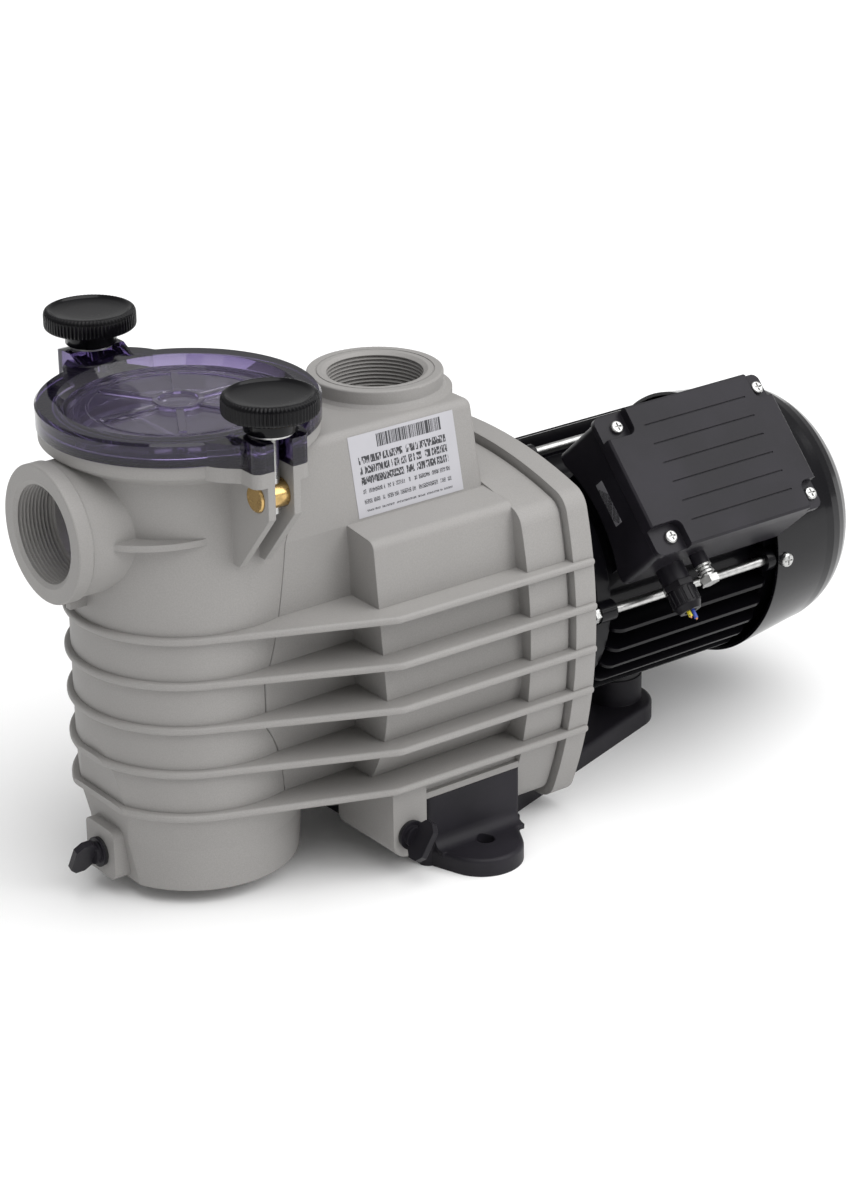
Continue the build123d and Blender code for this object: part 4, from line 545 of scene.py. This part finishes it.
class PUMP_OT_body(PumpOperator):
    """Finish of the moulded pump body"""

    bl_idname = "pump.body"
    bl_label = "Body"

    def make(self, finish, sizes):
        moulding = moulded_plastic("body_moulding", tuple(finish.moulding))
        dress(moulding, "strainer_pot", "pump_body", "casing_ribs")


class PUMP_OT_lid(PumpOperator):
    """Clear lid, its seal and the basket under it"""

    bl_idname = "pump.lid"
    bl_label = "Lid and basket"

    def make(self, finish, sizes):
        dress(clear_tinted("clear_lid", tuple(finish.lid_pane), tuple(finish.lid_edge)), "lid")
        dress(soft_rubber("lid_seal"), "lid_oring")
        dress(moulded_plastic("basket_moulding", (0.30, 0.30, 0.32), 0.2, 0.4 * MM), "strainer_basket")


class PUMP_OT_knobs(PumpOperator):
    """Fluted knobs on the swing bolts"""

    bl_idname = "pump.knobs"
    bl_label = "Knobs"

    def make(self, finish, sizes):
        black = gloss_black("knob_black", shaded(tuple(finish.black), 0.7), 0.20, 0.06, 0.0, 0.16)
        for side in ("near", "far"):
            node = f"{side}_knob"
            grip = knob_surface(node, sizes.knob_flutes, sizes.flute_depth)
            finish_piece(grip, black, node, "knob_black", node)
            dress(black, node)


class PUMP_OT_fasteners(PumpOperator):
    """Plated screws, rods and washers, and the brass barrels"""

    bl_idname = "pump.fasteners"
    bl_label = "Fasteners"

    def make(self, finish, sizes):
        zinc = plated_steel("zinc_plate", tuple(finish.zinc))
        dress(
            zinc, "near_swing_bolt", "far_swing_bolt", "near_knob_washer", "far_knob_washer", "casing_bolts",
            "tie_rods", "fan_cover_screws", "box_cover_screws", "earth_screw", "foot_screws",
            "fan_clip", "wave_washer",
        )
        brass = turned_metal("brass_pivot", tuple(finish.brass))
        dress(brass, "near_pivot_barrel", "far_pivot_barrel", "impeller_nut")


class PUMP_OT_drains(PumpOperator):
    """Drain plugs and their seals"""

    bl_idname = "pump.drains"
    bl_label = "Drain plugs"

    def make(self, finish, sizes):
        dress(satin_black("plug_black", tuple(finish.charcoal), 0.38), "pot_drain_plug", "volute_drain_plug")
        rubber = soft_rubber("drain_seal")
        dress(rubber, "pot_drain_seal", "volute_drain_seal", "casing_oring", "box_gasket", "motor_pad")


class PUMP_OT_motor(PumpOperator):
    """Painted motor housing, shields and fan cover"""

    bl_idname = "pump.motor"
    bl_label = "Motor"

    def make(self, finish, sizes):
        paint = gloss_black("motor_paint", tuple(finish.black), 0.30, 0.16, 0.5 * MM, 0.18)
        dress(paint, "motor_housing", "front_shield", "rear_shield")
        hood = gloss_black("hood_black", tuple(finish.black), 0.18, 0.05, 1.0 * MM, 0.3)
        dress(hood, "fan_cover", "cooling_fan")


class PUMP_OT_terminals(PumpOperator):
    """Terminal box, gland and cut leads"""

    bl_idname = "pump.terminals"
    bl_label = "Terminal box"

    def make(self, finish, sizes):
        charcoal = tuple(finish.charcoal)
        dress(satin_black("box_charcoal", charcoal, 0.34), "terminal_box", "box_cover")
        dress(satin_black("gland_black", shaded(charcoal, 0.6), 0.30, 0.1), "gland_body", "gland_nut")
        dress(two_leads("lead_sleeve"), "lead_ends")
        self.strip_leads(sizes)

    def strip_leads(self, sizes):
        """Bare strands that stand out of the two leads."""
        low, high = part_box("lead_ends")
        copper = turned_metal("lead_copper", (0.75, 0.36, 0.18), 0.3)
        along = (Vector((0.0, -0.6846, -0.7290))).normalized()
        for side, x in (("front", low.x + LEAD_R), ("rear", high.x - LEAD_R)):
            tip = Vector((x, low.y, low.z)) + Vector((0.0, 0.948, 0.890)) * MM
            if side == "front":
                tip -= along * 2.0 * MM
            bundle = strand_bundle(
                f"{side}_strands", tip - along * MM, along, 0.8 * MM, sizes.strand_count, 2.0 * MM
            )
            finish_piece(bundle, copper, "pump", "copper")


class PUMP_OT_labels(PumpOperator):
    """Printed labels"""

    bl_idname = "pump.labels"
    bl_label = "Labels"

    def make(self, finish, sizes):
        dress(printed_label("rating_label", tuple(finish.label), 8, True), "rating_label")
        dress(printed_label("box_label", shaded(tuple(finish.label), 0.5), 1, False), "box_label")


class PUMP_OT_foot(PumpOperator):
    """Foot under the pump"""

    bl_idname = "pump.foot"
    bl_label = "Foot"

    def make(self, finish, sizes):
        dress(satin_black("foot_charcoal", tuple(finish.charcoal), 0.46, 0.35, 1.0 * MM), "foot")


class PUMP_OT_inside(PumpOperator):
    """Pieces inside the pump and the motor"""

    bl_idname = "pump.inside"
    bl_label = "Inside"

    def make(self, finish, sizes):
        wet = moulded_plastic("wet_moulding", (0.05, 0.052, 0.056), 0.3, 0.5 * MM)
        dress(wet, "diffuser", "impeller", "casing_cover")
        ceramic = moulded_plastic("ceramic", (0.62, 0.57, 0.50), 0.1, 0.2 * MM, 0.35)
        dress(ceramic, "seal_seat", "terminal_block")
        dress(satin_black("carbon", (0.03, 0.03, 0.032), 0.4), "seal_head")
        steel = turned_metal("stainless", (0.62, 0.62, 0.63), 0.18)
        dress(
            steel, "shaft", "front_bearing_outer", "front_bearing_inner", "front_bearing_balls",
            "rear_bearing_outer", "rear_bearing_inner", "rear_bearing_balls",
        )
        dress(stacked_sheet("laminations"), "rotor_core", "stator_core")
        dress(wound_copper("windings"), "stator_windings")
        dress(moulded_plastic("capacitor_case", (0.55, 0.55, 0.56), 0.1, 0.3 * MM, 0.4), "capacitor")


class PUMP_OT_stage(bpy.types.Operator):
    """Floor, soft lights and the camera"""

    bl_idname = "pump.stage"
    bl_label = "Stage"
    bl_options = {"REGISTER", "UNDO"}

    def execute(self, context):
        stage = context.scene.pump_stage
        self.floor(stage)
        self.sky(context.scene, stage)
        self.light("key_light", (-1.7, -0.5, 1.7), 0.9, stage.key)
        self.light("fill_light", (1.1, -2.0, 1.1), 0.9, stage.fill)
        self.sun((0.22, -0.38, 1.0), stage.sun)
        self.camera(context.scene, stage)
        return {"FINISHED"}

    def floor(self, stage):
        """Wide floor, a flat grid with a faint mottle."""
        side = np.linspace(-30.0, 30.0, 5)
        x, y = np.meshgrid(side, side, indexing="ij")
        floor = grid_mesh("floor", np.stack([x, y, 0 * x], axis=-1))
        shade = Shade("floor_paint")
        tone = shade.mix(shade.noise(3, 3), tuple(stage.floor), shaded(tuple(stage.floor), 0.98))
        floor.data.materials.append(shade.surface(Base_Color=tone, Roughness=0.7))

    def sky(self, scene, stage):
        """Even light from all round."""
        world = bpy.data.worlds.new("studio")
        world.use_nodes = True
        ground = world.node_tree.nodes["Background"]
        ground.inputs["Color"].default_value = (1.0, 1.0, 1.0, 1.0)
        ground.inputs["Strength"].default_value = stage.sky
        scene.world = world
        scene.view_settings.view_transform = "Standard"

    def light(self, name, place, size, power):
        """Square soft light that faces the pump."""
        data = bpy.data.lights.new(name, "AREA")
        data.size = size
        data.energy = power
        light = bpy.data.objects.new(name, data)
        light.location = place
        light.rotation_euler = (Vector((0.0, 0.0, 0.15)) - Vector(place)).to_track_quat("-Z", "Y").to_euler()
        bpy.context.scene.collection.objects.link(light)

    def sun(self, towards, strength):
        """Very wide light from one direction, so that it casts almost no shadow."""
        data = bpy.data.lights.new("overhead_light", "SUN")
        data.angle = 1.3
        data.energy = strength
        light = bpy.data.objects.new("overhead_light", data)
        light.rotation_euler = Vector(towards).to_track_quat("Z", "Y").to_euler()
        bpy.context.scene.collection.objects.link(light)

    def camera(self, scene, stage):
        """Camera above and in front of the suction port, turned towards the label's side."""
        turn, rise, roll = np.radians((-36.58, 23.35, -0.72))
        back = Vector((np.sin(turn) * np.cos(rise), -np.cos(turn) * np.cos(rise), np.sin(rise)))
        right = (-back).cross(Vector((0.0, 0.0, 1.0))).normalized()
        up = right.cross(-back)
        tilted_right = right * np.cos(roll) + up * np.sin(roll)
        tilted_up = up * np.cos(roll) - right * np.sin(roll)
        data = bpy.data.cameras.new("view")
        data.sensor_fit = "VERTICAL"
        data.sensor_height = 36.0
        data.lens = stage.lens
        camera = bpy.data.objects.new("view", data)
        camera.matrix_world = Matrix.Translation((-1.0464, -1.45668, 0.90845)) @ Matrix(
            (tilted_right, tilted_up, back)
        ).transposed().to_4x4()
        scene.collection.objects.link(camera)
        scene.camera = camera


class PUMP_PT_panel(bpy.types.Panel):
    """Panel with the pump's settings and operators."""

    bl_idname = "PUMP_PT_panel"
    bl_label = "Pool pump"
    bl_space_type = "VIEW_3D"
    bl_region_type = "UI"
    bl_category = "Pool pump"

    def draw(self, context):
        for group in (context.scene.pump_finish, context.scene.pump_sizes, context.scene.pump_stage):
            box = self.layout.box()
            for name in group.bl_rna.properties.keys():
                if name not in ("rna_type", "name"):
                    box.prop(group, name)
        for operator in OPERATORS:
            self.layout.operator(operator.bl_idname)


OPERATORS = (
    PUMP_OT_body, PUMP_OT_lid, PUMP_OT_knobs, PUMP_OT_fasteners, PUMP_OT_drains, PUMP_OT_motor,
    PUMP_OT_terminals, PUMP_OT_labels, PUMP_OT_foot, PUMP_OT_inside, PUMP_OT_stage,
)
GROUPS = (("pump_finish", PumpFinish), ("pump_sizes", PumpSizes), ("pump_stage", PumpStage))


def register():
    for name, group in GROUPS:
        bpy.utils.register_class(group)
        setattr(bpy.types.Scene, name, bpy.props.PointerProperty(type=group))
    for cls in OPERATORS + (PUMP_PT_panel,):
        bpy.utils.register_class(cls)


def unregister():
    for cls in reversed(OPERATORS + (PUMP_PT_panel,)):
        bpy.utils.unregister_class(cls)
    for name, group in reversed(GROUPS):
        delattr(bpy.types.Scene, name)
        bpy.utils.unregister_class(group)


def main():
    register()
    bpy.ops.pump.body()
    bpy.ops.pump.lid()
    bpy.ops.pump.knobs()
    bpy.ops.pump.fasteners()
    bpy.ops.pump.drains()
    bpy.ops.pump.motor()
    bpy.ops.pump.terminals()
    bpy.ops.pump.labels()
    bpy.ops.pump.foot()
    bpy.ops.pump.inside()
    bpy.ops.pump.stage()


if __name__ == "__main__":
    main()
